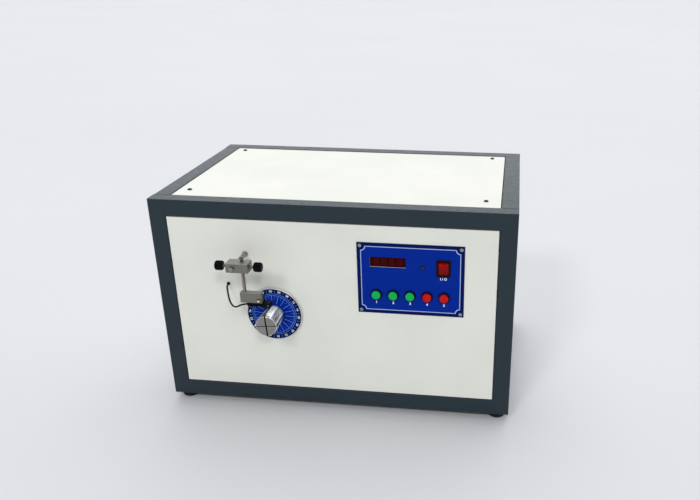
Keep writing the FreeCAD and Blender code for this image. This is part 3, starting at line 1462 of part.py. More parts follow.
def feeler_arm(brass_x, brass_z):
    """The black arm under the probe block, with a fork at its end for the finger."""
    arm_back = probe_block_back + arm_upstand
    bar = block("arm_bar", (arm_left, arm_right), (probe_block_front, arm_back),
                (arm_bottom, probe_block_bottom))
    half = arm_upstand_width / 2
    plate = block("arm_plate", (brass_x - half, brass_x + half), (probe_block_back, arm_back),
                  (arm_bottom, brass_z + half))
    cheek = finger_thickness / 2 + fork_clearance
    slot = block("arm_slot", (finger_x - fork_depth, arm_right + PAST),
                 (probe_y - cheek, probe_y + cheek), (arm_bottom - PAST, probe_block_bottom + PAST))
    pin_hole = cylinder("arm_pin_hole", finger_pin, 2 * probe_block_depth, finger_x,
                        probe_block_front - PAST, finger_z, "Y")
    screw_hole = prism("arm_screw_hole", brass_shank, 2 * arm_upstand, brass_x,
                       probe_block_back - PAST, brass_z, "Y")
    node(cut("feeler_arm", fuse("arm_shape", bar, plate), slot, pin_hole, screw_hole),
         "feeler_arm")
    head = cylinder("pin_head", finger_pin_head, finger_pin_head_height, finger_x,
                    probe_block_front, finger_z, "-Y")
    shank = cylinder("pin_shank", finger_pin, probe_block_depth + arm_upstand, finger_x,
                     probe_block_front, finger_z, "Y")
    node(fuse("feeler_pin", head, shank), "feeler_pin")

    body = new_body("feeler_finger")
    eye = new_sketch(body, "XZ")
    add_circle(eye, finger_width)
    pad(body, eye, finger_thickness, middle=True)
    blade = new_sketch(body, "XZ")
    add_outline(blade, [
        (-finger_width / 2, 0),
        (finger_width / 2, 0),
        (finger_tip / 2, -finger_length),
        (-finger_tip / 2, -finger_length),
    ])
    pad(body, blade, finger_thickness, middle=True)
    pivot = new_sketch(body, "XZ")
    add_circle(pivot, finger_pin + 2 * running_clearance)
    pocket(body, pivot, 2 * finger_thickness, middle=True)
    node(place(body, finger_x, probe_y, finger_z), "feeler_finger")


# Sensor cable: a thin tube along straight runs and tangent arcs, from its bush to the arm
CABLE_POINTS = [
    (0, 0, 0),
    (0, -9, -1),
    (3, -17, -11),
    (8.5, -27, -21),
    (19, -38, -26.5),
    (33, -45, -22.5),
]
CABLE_LEAD_IN = Vector(10, 0, 0)


def cable_path(points):
    """Straight runs joined by arcs as large as the runs beside them allow."""
    edges = []
    start = points[0]
    for before, corner, after in zip(points, points[1:], points[2:]):
        arriving = (corner - before).normalize()
        leaving = (after - corner).normalize()
        half_turn = arriving.getAngle(leaving) / 2
        trim = 0.45 * min(before.distanceToPoint(corner), corner.distanceToPoint(after))
        radius = trim / math.tan(half_turn)
        print("cable arc radius %.1f, turn %.0f degrees" % (radius, math.degrees(2 * half_turn)))
        first = corner - arriving * trim
        last = corner + leaving * trim
        inward = (leaving - arriving).normalize()
        middle = corner + inward * (radius / math.cos(half_turn) - radius)
        edges.append(Part.LineSegment(start, first).toShape())
        edges.append(Part.Arc(first, middle, last).toShape())
        start = last
    edges.append(Part.LineSegment(start, points[-1]).toShape())
    return Part.Wire(edges)


def sensor_cable():
    bush_x = left + grommet_from_left
    bush_z = bottom + grommet_from_bottom
    flange = turned_body("bush_flange", [
        (0, 0),
        (grommet_flange / 2, 0),
        (grommet_flange / 2 - grommet_front / 2, grommet_front),
        (0, grommet_front),
    ])
    place(flange, bush_x, panel_face, bush_z, ALONG["-Y"])
    neck = prism("bush_neck", grommet_neck, panel_thickness, bush_x, panel_face, bush_z, "Y")
    tail = prism("bush_tail", grommet_flange, grommet_back, bush_x, panel_back, bush_z, "Y")
    node(fuse("cable_bush", flange, neck, tail), "cable_bush")

    exit_y = panel_face - grommet_front
    start = Vector(bush_x.value, exit_y.value, bush_z.value)
    end = Vector(arm_left.value, probe_y.value, finger_z.value)
    points = [start + Vector(*offset) for offset in CABLE_POINTS]
    points += [end - CABLE_LEAD_IN, end]
    path = cable_path(points)
    ring = Part.Circle(start, points[1] - start, cable_diameter.value / 2).toShape()
    tube = path.makePipeShell([Part.Wire([ring])], True, True)
    section = math.pi * (cable_diameter.value / 2) ** 2
    print("cable length %.1f, volume ratio %.4f" % (path.Length, tube.Volume / section / path.Length))
    item = doc.addObject("Part::Feature", "sensor_cable")
    item.Shape = tube
    node(item, "sensor_cable")


# Electrical units on the base plate and the mains inlet
units_back = back - tube_size - panel_flange - unit_gap
supply_left = right - tube_size - panel_flange - unit_gap - supply_width
driver_left = supply_left - unit_gap - driver_width


def electrical_units():
    node(block("power_supply", (supply_left, supply_left + supply_width),
               (units_back - supply_length, units_back), (base_top, base_top + supply_height)),
         "power_supply")

    body = new_body("motor_driver")
    case = new_sketch(body, "XY")
    add_rectangle(case, driver_width, driver_length)
    pad(body, case, driver_height - fin_height)
    fin = new_sketch(body, "XY", x=(fin_thickness - driver_width) / 2,
                     height=driver_height - fin_height)
    add_rectangle(fin, fin_thickness, driver_length)
    blade = pad(body, fin, fin_height)
    row = body.newObject("PartDesign::LinearPattern", "fin_row")
    row.Originals = [blade]
    roles = {item.Role: item for item in body.Origin.OriginFeatures}
    row.Direction = (roles["X_Axis"], [""])
    bind(row, "Length", driver_width - fin_thickness)
    row.Occurrences = fin_count
    body.Tip = row
    node(place(body, driver_left + driver_width / 2, units_back - driver_length / 2, base_top),
         "motor_driver")

    strip_y = units_back - supply_length - unit_gap - strip_width
    base = block("strip_base", (driver_left, driver_left + strip_length),
                 (strip_y, strip_y + strip_width), (base_top, base_top + strip_height))
    pitch = strip_length / strip_poles
    middle = strip_y + strip_width / 2
    half = strip_well / 2
    deep = base_top + strip_height - strip_well_depth
    wells = []
    for pole in range(strip_poles):
        x = driver_left + (pole + 0.5) * pitch
        wells.append(block("strip_well", (x - half, x + half), (middle - half, middle + half),
                           (deep, base_top + strip_height + PAST)))
    node(cut("terminal_strip", base, *wells), "terminal_strip")


def mains_inlet():
    x = inlet_x
    z = inlet_z
    rear_face = back - panel_recess
    flange = block("inlet_flange", (x - inlet_flange_width / 2, x + inlet_flange_width / 2),
                   (rear_face, rear_face + inlet_flange),
                   (z - inlet_flange_height / 2, z + inlet_flange_height / 2))
    case = block("inlet_case", (x - inlet_width / 2, x + inlet_width / 2),
                 (rear_face - inlet_depth, rear_face),
                 (z - inlet_height / 2, z + inlet_height / 2))
    half_width = inlet_width / 2 - inlet_wall
    half_height = inlet_height / 2 - inlet_wall
    recess = block("inlet_recess", (x - half_width, x + half_width),
                   (rear_face - inlet_recess, rear_face + inlet_flange + PAST),
                   (z - half_height, z + half_height))
    holes = [prism("inlet_hole", plate_screw_diameter, inlet_flange + 2 * PAST,
                   x + side * inlet_screw_pitch / 2, rear_face - PAST, z, "Y")
             for side in (-1, 1)]
    shell = cut("inlet_shell", fuse("inlet_blank", flange, case), recess, *holes)
    half_pin = inlet_pin_width / 2
    pins = []
    for offset, rise in ((-inlet_pin_side, -inlet_pin_drop), (0, inlet_pin_rise),
                         (inlet_pin_side, -inlet_pin_drop)):
        pins.append(block("inlet_pin", (x + offset - half_pin, x + offset + half_pin),
                          (rear_face - inlet_pin_root, rear_face),
                          (z + rise - inlet_pin_height / 2, z + rise + inlet_pin_height / 2)))
    node(fuse("mains_inlet", shell, *pins), "mains_inlet")


end_frame("front_frame", front + tube_size / 2, foot_inset - tube_size / 2)
end_frame("rear_frame", back - tube_size / 2, tube_size / 2 - foot_inset)
side_rails()
feet()
front_panel()
top_panel()
side_panels()
rear_panel()
base_plate()
control_plate()
display_and_board()
indicator_lamp()
power_switch()
power_rocker()
buttons()
small_screws()
mandrel()
dial()
spindle_shaft()
bearing_housing()
encoder()
coupling_and_motor()
drive_stand()
drive_screws()
support_stand()
cross_block()
thumb_screw("left_thumb", block_left - thumb_shank_shown,
            support_x - support_rod / 2 - thumb_tip_gap, -1)
thumb_screw("right_thumb", block_right + thumb_shank_shown,
            probe_x + probe_rod / 2 + thumb_tip_gap, 1)
probe_parts()
sensor_cable()
electrical_units()
mains_inlet()
node(group("panel_tabs", all_tabs), "panel_tabs")
node(group("panel_screws", all_screws), "panel_screws")

# Check every object, then write each piece to a file of its own
doc.recompute()
for item in doc.Objects:
    if "Invalid" in item.State or "Error" in item.State:
        raise RuntimeError("%s failed: %s" % (item.Name, item.State))
for item in nodes:
    if item.Shape.isNull() or not item.Shape.isValid():
        raise RuntimeError("%s has no valid shape" % item.Label)
os.makedirs("parts", exist_ok=True)
for item in nodes:
    item.Shape.exportStep("parts/%s.step" % item.Label)
print("%d pieces written" % len(nodes))
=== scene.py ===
"""Dresses and lights the bench tester for the springiness of winding wire.

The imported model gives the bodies, the joints and the plain pieces. This script gives every
piece its finish, puts detailed pieces in place of plain ones, and adds the camera and light.
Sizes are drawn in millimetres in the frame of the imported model; placed() turns them into
metres. X runs to the right along the front, Y runs into the cabinet and Z runs up.
"""

import json
import math

import bmesh
import bpy
from mathutils import Matrix, Vector


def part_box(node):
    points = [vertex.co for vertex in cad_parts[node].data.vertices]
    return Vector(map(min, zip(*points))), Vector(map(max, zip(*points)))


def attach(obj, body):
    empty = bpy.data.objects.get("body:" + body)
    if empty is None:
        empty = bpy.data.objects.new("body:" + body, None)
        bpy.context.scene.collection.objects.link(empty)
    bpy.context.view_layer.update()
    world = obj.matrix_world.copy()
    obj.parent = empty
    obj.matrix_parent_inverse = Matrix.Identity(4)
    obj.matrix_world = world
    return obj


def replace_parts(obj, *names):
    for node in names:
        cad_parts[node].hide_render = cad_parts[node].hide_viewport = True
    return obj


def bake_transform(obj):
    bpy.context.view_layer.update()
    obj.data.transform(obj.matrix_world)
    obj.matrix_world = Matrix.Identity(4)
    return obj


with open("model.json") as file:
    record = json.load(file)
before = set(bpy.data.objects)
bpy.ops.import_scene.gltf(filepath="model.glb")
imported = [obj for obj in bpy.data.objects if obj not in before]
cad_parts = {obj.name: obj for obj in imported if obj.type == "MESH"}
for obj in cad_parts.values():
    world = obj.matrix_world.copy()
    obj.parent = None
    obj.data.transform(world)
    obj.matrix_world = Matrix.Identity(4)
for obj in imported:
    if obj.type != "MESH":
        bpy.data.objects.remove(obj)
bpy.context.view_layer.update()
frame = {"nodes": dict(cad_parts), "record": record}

MM = 0.001
UP = Vector((0, 0, 1))
# Corners of a rectangle, as shares of half its width and half its height
CORNERS = [(-1, -1), (1, -1), (1, 1), (-1, 1)]
# Vertices that are closer than this, in metres, are one vertex
SAME_SPOT = 1e-7
# Turns a piece that is drawn with its face up so that the face looks the given way
FACING = {
    "up": Matrix.Identity(4),
    "front": Matrix.Rotation(math.pi / 2, 4, "X"),
    "rear": Matrix.Rotation(math.pi, 4, "Z") @ Matrix.Rotation(math.pi / 2, 4, "X"),
    "right": Matrix.Rotation(math.pi / 2, 4, "Y"),
    "left": Matrix.Rotation(-math.pi / 2, 4, "Y"),
}


def box(node):
    """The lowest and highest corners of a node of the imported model, in millimetres."""
    low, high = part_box(node)
    return low / MM, high / MM


def middle(node):
    """The middle of a node's box, in millimetres."""
    low, high = box(node)
    return (low + high) / 2


def placed(x, y, z, facing="up", turn=0):
    """The matrix from millimetres round a point to metres in the frame of the model."""
    turned = Matrix.Rotation(math.radians(turn), 4, "Z")
    return Matrix.Translation(Vector((x, y, z)) * MM) @ FACING[facing] @ turned @ Matrix.Scale(MM, 4)


# Finishes
# Most of a noise texture lies between these two values
NOISE_LOW = 0.3
NOISE_HIGH = 0.7


def srgb(red, green, blue):
    """A linear colour from values of 0 to 255 as a screen shows them."""
    linear = []
    for value in (red / 255, green / 255, blue / 255):
        linear.append(value / 12.92 if value <= 0.04045 else ((value + 0.055) / 1.055) ** 2.4)
    return (*linear, 1.0)


class Finish:
    """A material of one shader with noise in the piece's own coordinates, in metres."""

    def __init__(self, name, colour, roughness, **sockets):
        self.name = name
        self.material = bpy.data.materials.new(name)
        self.material.use_nodes = True
        self.tree = self.material.node_tree
        self.shader = self.tree.nodes["Principled BSDF"]
        self.colour = colour
        self.shader.inputs["Base Color"].default_value = colour
        self.shader.inputs["Roughness"].default_value = roughness
        for socket, value in sockets.items():
            title = socket.replace("_", " ").title().replace("Ior", "IOR")
            self.shader.inputs[title].default_value = value
        self.place = self.tree.nodes.new("ShaderNodeTexCoord").outputs["Object"]

    def link(self, source, node, socket):
        """Lead an output into a socket of a node."""
        self.tree.links.new(source, node.inputs[socket])

    def noise(self, scale, detail=2.0, stretch=(1, 1, 1)):
        """Cloudy noise with so many features in a metre, from 0 to 1."""
        mapping = self.tree.nodes.new("ShaderNodeMapping")
        mapping.inputs["Scale"].default_value = stretch
        self.link(self.place, mapping, "Vector")
        texture = self.tree.nodes.new("ShaderNodeTexNoise")
        texture.inputs["Scale"].default_value = scale
        texture.inputs["Detail"].default_value = detail
        self.link(mapping.outputs[0], texture, "Vector")
        return self.spread(texture.outputs[0], 0, 1, NOISE_LOW, NOISE_HIGH)

    def rings(self, centre, scale):
        """Fine noise that goes round an axis along Y, on the faces as well as on the sides."""
        offset = self.tree.nodes.new("ShaderNodeVectorMath")
        offset.operation = "SUBTRACT"
        offset.inputs[1].default_value = centre
        self.link(self.place, offset, 0)
        flat = self.tree.nodes.new("ShaderNodeVectorMath")
        flat.operation = "MULTIPLY"
        flat.inputs[1].default_value = (1, 0, 1)
        self.link(offset.outputs[0], flat, 0)
        radius = self.tree.nodes.new("ShaderNodeVectorMath")
        radius.operation = "LENGTH"
        self.link(flat.outputs[0], radius, 0)
        parts = self.tree.nodes.new("ShaderNodeSeparateXYZ")
        self.link(self.place, parts, 0)
        along = self.tree.nodes.new("ShaderNodeMath")
        self.link(radius.outputs["Value"], along, 0)
        self.link(parts.outputs["Y"], along, 1)
        texture = self.tree.nodes.new("ShaderNodeTexNoise")
        texture.noise_dimensions = "1D"
        texture.inputs["Scale"].default_value = scale
        texture.inputs["Detail"].default_value = 3
        self.link(along.outputs[0], texture, "W")
        return self.spread(texture.outputs[0], 0, 1, NOISE_LOW, NOISE_HIGH)

    def upward(self):
        """How far a surface faces up, 0 for a side and 1 for a top, as the mask of painted top
        light.
        """
        parts = self.tree.nodes.new("ShaderNodeSeparateXYZ")
        normal = self.tree.nodes.new("ShaderNodeTexCoord").outputs["Normal"]
        self.link(normal, parts, 0)
        return self.spread(parts.outputs["Z"], 0, 1, 0.4, 0.9)

    def height(self, low, high):
        """The height of a point between two levels, from 0 to 1."""
        parts = self.tree.nodes.new("ShaderNodeSeparateXYZ")
        self.link(self.place, parts, 0)
        return self.spread(parts.outputs["Z"], 0, 1, low, high)

    def spread(self, source, low, high, from_low=0.0, from_high=1.0):
        """Stretch a value from one range to another."""
        node = self.tree.nodes.new("ShaderNodeMapRange")
        node.inputs["From Min"].default_value = from_low
        node.inputs["From Max"].default_value = from_high
        node.inputs["To Min"].default_value = low
        node.inputs["To Max"].default_value = high
        self.link(source, node, "Value")
        return node.outputs["Result"]

    def tint(self, pattern, dark, light):
        """Let the colour vary between two brightnesses."""
        node = self.tree.nodes.new("ShaderNodeMix")
        node.data_type = "RGBA"
        node.inputs[6].default_value = (*[dark * part for part in self.colour[:3]], 1)
        node.inputs[7].default_value = (*[min(light * part, 1) for part in self.colour[:3]], 1)
        self.link(pattern, node, 0)
        self.link(node.outputs[2], self.shader, "Base Color")

    def dull(self, pattern, low, high):
        """Let the roughness vary between two values."""
        self.link(self.spread(pattern, low, high), self.shader, "Roughness")
        return self

    def emboss(self, pattern, height):
        """Raise the surface by a pattern, by so many metres."""
        node = self.tree.nodes.new("ShaderNodeBump")
        node.inputs["Distance"].default_value = height
        self.link(pattern, node, "Height")
        self.link(node.outputs["Normal"], self.shader, "Normal")
        return self


def powder_coat(name, colour, roughness, specular=0.3):
    """Baked paint with a fine orange-peel skin."""
    finish = Finish(name, colour, roughness, specular_ior_level=specular)
    finish.tint(finish.noise(7, 4), 0.96, 1.03)
    finish.dull(finish.noise(120), roughness - 0.05, roughness + 0.05)
    return finish.emboss(finish.noise(650), 0.00003)


def plastic(name, colour, roughness, grain=0.00001, specular=0.12):
    """Moulded plastic: a faint cloudiness and a fine spark-eroded grain."""
    finish = Finish(name, colour, roughness, specular_ior_level=specular)
    finish.tint(finish.noise(60, 3), 0.92, 1.06)
    finish.dull(finish.noise(300), roughness - 0.04, roughness + 0.06)
    return finish.emboss(finish.noise(2500), grain)


def gloss(name, colour, roughness=0.12, coat=0.2, specular=0.1):
    """Polished coloured plastic under a clear skin."""
    finish = Finish(name, colour, roughness, specular_ior_level=specular, coat_weight=coat,
                    coat_roughness=0.05)
    finish.tint(finish.noise(90, 2), 0.93, 1.05)
    return finish.dull(finish.noise(400), roughness - 0.03, roughness + 0.05)


def rubber(name, colour):
    """Dull moulded rubber."""
    finish = Finish(name, colour, 0.75, specular_ior_level=0.25)
    finish.tint(finish.noise(45, 5), 0.8, 1.15)
    finish.dull(finish.noise(200), 0.65, 0.85)
    return finish.emboss(finish.noise(1500), 0.00004)


def metal(name, colour, roughness, stretch=(1, 1, 1)):
    """Bare metal whose fine scratches run along the axis with the least stretch."""
    finish = Finish(name, colour, roughness, metallic=1.0)
    scratches = finish.noise(2500, 3, stretch)
    finish.tint(finish.noise(25, 3), 0.9, 1.05)
    finish.dull(scratches, roughness - 0.08, roughness + 0.1)
    return finish.emboss(scratches, 0.000006)


def turned_metal(name, colour, roughness, centre, depth, tone_and_reflection_shades):
    """Metal off the lathe: fine rings round an axis along Y, and streaks along it between two
    shades; a wide range of shades paints reflections into the colour.
    """
    finish = Finish(name, colour, roughness, metallic=1.0)
    rings = finish.rings(centre, 2600)
    tone_and_reflection_streaks = finish.spread(finish.noise(130, 1, (1, 0.02, 1)), 0, 1, 0.2, 0.8)
    finish.tint(tone_and_reflection_streaks, *tone_and_reflection_shades)
    finish.dull(rings, roughness - 0.08, roughness + 0.12)
    return finish.emboss(rings, depth)


def ink(name, colour, roughness=0.4):
    """Screen print: an even film with a slight mottle."""
    finish = Finish(name, colour, roughness, specular_ior_level=0.05)
    finish.tint(finish.noise(220, 4), 0.93, 1.06)
    return finish.dull(finish.noise(500), roughness - 0.05, roughness + 0.08)


def cast_metal(name, colour, roughness):
    """Coarse cast or pressed metal, as on the units inside."""
    finish = Finish(name, colour, roughness, metallic=0.6)
    finish.tint(finish.noise(80, 5), 0.85, 1.1)
    return finish.emboss(finish.noise(900, 3), 0.00003)


# Finish of each material slot, then the finishes of printed and detailed pieces
spindle = middle("dial")
spindle_centre = (spindle.x * MM, 0, spindle.z * MM)
ACROSS_BLOCK = (0.03, 1, 1)
DOWN_ROD = (1, 1, 0.02)
rocker_low, rocker_high = box("power_rocker")

FINISHES = [
    powder_coat("frame_paint", srgb(36, 49, 57), 0.34, 0.22),
    powder_coat("panel_paint", srgb(228, 229, 220), 0.45),
    metal("zinc_steel", srgb(168, 170, 168), 0.3),
    metal("blackened_steel", srgb(46, 48, 50), 0.42),
    rubber("foot_rubber", srgb(20, 20, 21)),
    ink("plate_blue", srgb(2, 20, 84)),
    gloss("window_red", srgb(50, 0, 4), 0.2, 0.0, 0.04),
    plastic("board_green", srgb(20, 84, 48), 0.45),
    gloss("lamp_green", srgb(10, 56, 34)),
    plastic("black_plastic", srgb(9, 9, 10), 0.34),
    gloss("rocker_red", srgb(168, 0, 2), 0.24, 0.05),
    gloss("button_green", srgb(0, 174, 84), 0.16),
    gloss("button_red", srgb(190, 0, 8), 0.16),
    cast_metal("unit_case", srgb(168, 170, 170), 0.45),
    plastic("strip_plastic", srgb(30, 30, 32), 0.5),
    metal("machined_aluminium", srgb(130, 128, 121), 0.5, ACROSS_BLOCK),
    # Painted reflection: the turned mandrel takes dark and bright streaks along its axis, from 0.14
    # to full brightness.
    turned_metal("turned_aluminium", srgb(236, 240, 248), 0.18, spindle_centre, 0.000005,
                 (0.14, 1.0)),
    metal("bearing_steel", srgb(176, 178, 180), 0.22),
    powder_coat("motor_paint", srgb(44, 46, 48), 0.5),
    metal("rod_steel", srgb(150, 146, 140), 0.14, DOWN_ROD),
    rubber("cable_rubber", srgb(12, 12, 13)),
    ink("dial_blue", srgb(0, 40, 146)),
    plastic("knob_black", srgb(6, 6, 7), 0.42, 0.00003, 0.06),
    metal("screw_brass", srgb(250, 242, 216), 0.3),
]
finishes = {finish.name: finish for finish in FINISHES}
machined = finishes["machined_aluminium"]
# Painted light: the tops of the machined blocks are tinted up to 1.75 times lighter than their
# sides.
machined.tint(machined.upward(), 1.0, 1.75)
rocker_red = finishes["rocker_red"]
# Painted shade: the rocker is tinted darker towards the bottom, down to a quarter of its colour.
rocker_red.tint(rocker_red.height(rocker_low.z * MM, rocker_high.z * MM), 0.25, 1.0)
white_ink = ink("white_ink", srgb(240, 242, 246))
pale_ink = ink("pale_ink", srgb(170, 186, 226))
field_ink = ink("field_ink", srgb(0, 40, 146))
dial_ink = ink("dial_ink", srgb(0, 42, 150))
navy_ink = ink("navy_ink", srgb(2, 18, 82))
line_ink = ink("line_ink", srgb(118, 166, 240))
digit_ink = ink("digit_ink", srgb(84, 10, 14), 0.3)
# Painted reflection: the probe rod takes streaks down its length from 0.3 to 1.3 times its colour.
painted_reflection_rod = metal("painted_reflection_rod", srgb(176, 168, 158), 0.16, DOWN_ROD)
painted_reflection_rod.tint(painted_reflection_rod.noise(330, 0, DOWN_ROD), 0.3, 1.3)
pin_metal = metal("pin_metal", srgb(96, 98, 102), 0.4)
# Painted shade: near-black colour for the walls of the mandrel's saw cuts.
slot_shade = powder_coat("slot_shade", srgb(14, 13, 12), 0.7, 0.05)
bright_rim = metal("bright_rim", srgb(222, 224, 228), 0.4)
faced_metal = turned_metal("faced_metal", srgb(146, 145, 140), 0.4, spindle_centre, 0.00002,
                           (0.94, 1.05))

for part in frame["record"]["subparts"]:
    slots = frame["nodes"][part["node"]].data.materials
    slots.clear()
    slots.append(finishes[part["material_slot"]].material)
frame["nodes"]["probe_rod"].data.materials[0] = painted_reflection_rod.material
frame["nodes"]["feeler_pin"].data.materials[0] = pin_metal.material


# Mesh tools
def circle(radius, height, steps):
    """Points round local Z at a height."""
    angles = [2 * math.pi * step / steps for step in range(steps)]
    return [Vector((radius * math.cos(a), radius * math.sin(a), height)) for a in angles]


def rounded_rectangle(width, height, corner, level, steps=5):
    """Points of a rectangle with round corners, at a level on local Z."""
    points = []
    for quarter, (i, j) in enumerate([(1, 1), (-1, 1), (-1, -1), (1, -1)]):
        centre = Vector((i * (width / 2 - corner), j * (height / 2 - corner), level))
        for step in range(steps + 1):
            angle = math.pi / 2 * (quarter + step / steps)
            points.append(centre + corner * Vector((math.cos(angle), math.sin(angle), 0)))
    return points


def notched_rectangle(width, height, notch, steps=8):
    """Flat points of a rectangle whose corners are scooped out round its own corners."""
    points = []
    for quarter, (i, j) in enumerate([(1, -1), (1, 1), (-1, 1), (-1, -1)]):
        for step in range(steps + 1):
            angle = math.pi + math.pi / 2 * (quarter - step / steps)
            points.append((i * width / 2 + notch * math.cos(angle),
                           j * height / 2 + notch * math.sin(angle)))
    return points


def rectangle(width, height, x=0.0, y=0.0):
    """Flat points of a rectangle round a point."""
    return [(x + i * width / 2, y + j * height / 2) for i, j in CORNERS]


def disc(radius, x=0.0, y=0.0, steps=96):
    """Flat points of a circle round a point."""
    return [(x + point.x, y + point.y) for point in circle(radius, 0, steps)]


def join_loops(mesh, lower, upper, slot):
    """Faces between two loops; a loop of one vertex is a tip."""
    count = max(len(lower), len(upper))
    for index in range(count):
        after = (index + 1) % count
        around = [lower[index % len(lower)], lower[after % len(lower)],
                  upper[after % len(upper)], upper[index % len(upper)]]
        corners = list(dict.fromkeys(around))
        if len(corners) > 2:
            mesh.faces.new(corners).material_index = slot


def add_lathe(mesh, profile, place, steps=64, slots=0):
    """Turn (radius, height) points round local Z. A radius of 0 makes a closed tip."""
    if isinstance(slots, int):
        slots = [slots] * (len(profile) - 1)
    loops = []
    for radius, height in profile:
        points = circle(radius, height, steps) if radius else [UP * height]
        loops.append([mesh.verts.new(place @ point) for point in points])
    for lower, upper, slot in zip(loops, loops[1:], slots):
        join_loops(mesh, lower, upper, slot)


def add_loft(mesh, outlines, place, slot=0):
    """A skin over outlines with the same number of points, closed at both ends."""
    loops = [[mesh.verts.new(place @ Vector(point)) for point in outline] for outline in outlines]
    for lower, upper in zip(loops, loops[1:]):
        join_loops(mesh, lower, upper, slot)
    mesh.faces.new(loops[0]).material_index = slot
    mesh.faces.new(loops[-1]).material_index = slot


def add_box(mesh, x, y, z, place):
    """A plain block between two values on each axis."""
    outlines = [[(x[0], y[0], level), (x[1], y[0], level), (x[1], y[1], level),
                 (x[0], y[1], level)] for level in z]
    add_loft(mesh, outlines, place)


def rounded_over(radius, height, edge, steps=4):
    """The (radius, height) points of a rounded edge, from the side to the top."""
    points = []
    for step in range(steps + 1):
        angle = math.pi / 2 * step / steps
        points.append((radius - edge * (1 - math.cos(angle)), height - edge * (1 - math.sin(angle))))
    return points


def mesh_of(curve):
    """The mesh that a curve or a text makes. The curve is dropped."""
    holder = bpy.data.objects.new("holder", curve)
    bpy.context.collection.objects.link(holder)
    graph = bpy.context.evaluated_depsgraph_get()
    data = bpy.data.meshes.new_from_object(holder.evaluated_get(graph))
    bpy.data.objects.remove(holder)
    bpy.data.curves.remove(curve)
    return data


def add_curve(mesh, curve, place, slot):
    """Add the surface of a curve or of a text."""
    data = mesh_of(curve)
    data.transform(place)
    first = len(mesh.faces)
    mesh.from_mesh(data)
    mesh.faces.ensure_lookup_table()
    for face in mesh.faces[first:]:
        face.material_index = slot
    bpy.data.meshes.remove(data)


# Thickness of printed ink
INK = 0.04


def add_print(mesh, outlines, place, slot=0):
    """A thin printed area: the first outline is its edge, the others are holes in it."""
    curve = bpy.data.curves.new("area", "CURVE")
    curve.dimensions = "2D"
    curve.fill_mode = "BOTH"
    curve.extrude = INK / 2
    for outline in outlines:
        spline = curve.splines.new("POLY")
        spline.points.add(len(outline) - 1)
        for point, (x, y) in zip(spline.points, outline):
            point.co = (x, y, 0, 1)
        spline.use_cyclic_u = True
    add_curve(mesh, curve, place @ Matrix.Translation(UP * INK / 2), slot)


def add_words(mesh, words, size, place, bold):
    """Thin printed lettering centred on a place; bold widens its strokes."""
    curve = bpy.data.curves.new("words", "FONT")
    curve.body = words
    curve.size = size
    curve.offset = bold
    curve.align_x = "CENTER"
    curve.align_y = "CENTER"
    curve.resolution_u = 3
    curve.extrude = INK / 2
    add_curve(mesh, curve, place @ Matrix.Translation(UP * INK / 2), 0)


def carve(mesh, cutter):
    """Take the volume of one closed mesh away from another."""
    holders = []
    for part in (mesh, cutter):
        bmesh.ops.remove_doubles(part, verts=part.verts, dist=SAME_SPOT)
        bmesh.ops.recalc_face_normals(part, faces=part.faces)
        data = bpy.data.meshes.new("part")
        part.to_mesh(data)
        holder = bpy.data.objects.new("part", data)
        bpy.context.collection.objects.link(holder)
        holders.append(holder)
    cutter.free()
    blank, tool = holders
    knife = blank.modifiers.new("knife", "BOOLEAN")
    knife.operation = "DIFFERENCE"
    knife.solver = "EXACT"
    knife.use_self = True
    knife.object = tool
    graph = bpy.context.evaluated_depsgraph_get()
    carved = bpy.data.meshes.new_from_object(blank.evaluated_get(graph))
    mesh.clear()
    mesh.from_mesh(carved)
    bpy.data.meshes.remove(carved)
    for holder in holders:
        data = holder.data
        bpy.data.objects.remove(holder)
        bpy.data.meshes.remove(data)


def piece(name, mesh, body, coats, *nodes, sharp=32):
    """Make a built mesh a piece that rides on a body and stands for nodes of the model.

    Edges sharper than so many degrees stay sharp.
    """
    bmesh.ops.remove_doubles(mesh, verts=mesh.verts, dist=SAME_SPOT)
    bmesh.ops.recalc_face_normals(mesh, faces=mesh.faces)
    data = bpy.data.meshes.new(name)
    mesh.to_mesh(data)
    mesh.free()
    data.shade_smooth()
    data.set_sharp_from_angle(angle=math.radians(sharp))
    for coat in coats:
        data.materials.append(coat.material)
    item = bpy.data.objects.new(name, data)
    bpy.context.collection.objects.link(item)
    if body:
        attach(item, body)
    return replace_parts(item, *nodes) if nodes else item


# Camera, as the photograph was taken
camera_data = bpy.data.cameras.new("camera")
camera_data.sensor_width = 36
camera_data.lens = 37.84
camera_data.shift_x = -0.1132
camera_data.shift_y = 0.0289
camera = bpy.data.objects.new("camera", camera_data)
camera.location = (0.3029, -1.3210, 0.7908)
camera.rotation_euler = [math.radians(angle) for angle in (66.83, -0.29, 6.60)]
bpy.context.collection.objects.link(camera)
bpy.context.scene.camera = camera

# Sensor cable: from its bush in the front panel, in a loop down to the feeler arm
CABLE_DIAMETER = 3.0
# Points that steer it, from where it leaves the bush
CABLE_POINTS = [
    (0, 0, 0),
    (0, -7, -0.5),
    (4, -15, -9),
    (9.3, -25, -19),
    (18.5, -37, -24),
    (29, -46, -23),
]
# From the last point that steers it to its end in the arm
CABLE_LEAD_IN = Vector((11, 0, 1))
CABLE_BELOW_PIN = 1.4
bush_low, bush_high = box("cable_bush")
arm_low = box("feeler_arm")[0]
bush_x = (bush_low.x + bush_high.x) / 2
bush_z = (bush_low.z + bush_high.z) / 2
cable_start = Vector((bush_x, bush_low.y, bush_z))
cable_end = Vector((arm_low.x, middle("probe_rod").y, middle("feeler_pin").z - CABLE_BELOW_PIN))


def smooth_route(points):
    """Points along the smooth curve that a route's points steer, in metres."""
    curve = bpy.data.curves.new("route", "CURVE")
    curve.dimensions = "3D"
    curve.resolution_u = 10
    spline = curve.splines.new("NURBS")
    spline.points.add(len(points) - 1)
    for point, spot in zip(spline.points, points):
        point.co = (*(spot * MM), 1)
    spline.order_u = 3
    spline.use_endpoint_u = True
    data = mesh_of(curve)
    line = [vertex.co.copy() for vertex in data.vertices]
    bpy.data.meshes.remove(data)
    return line


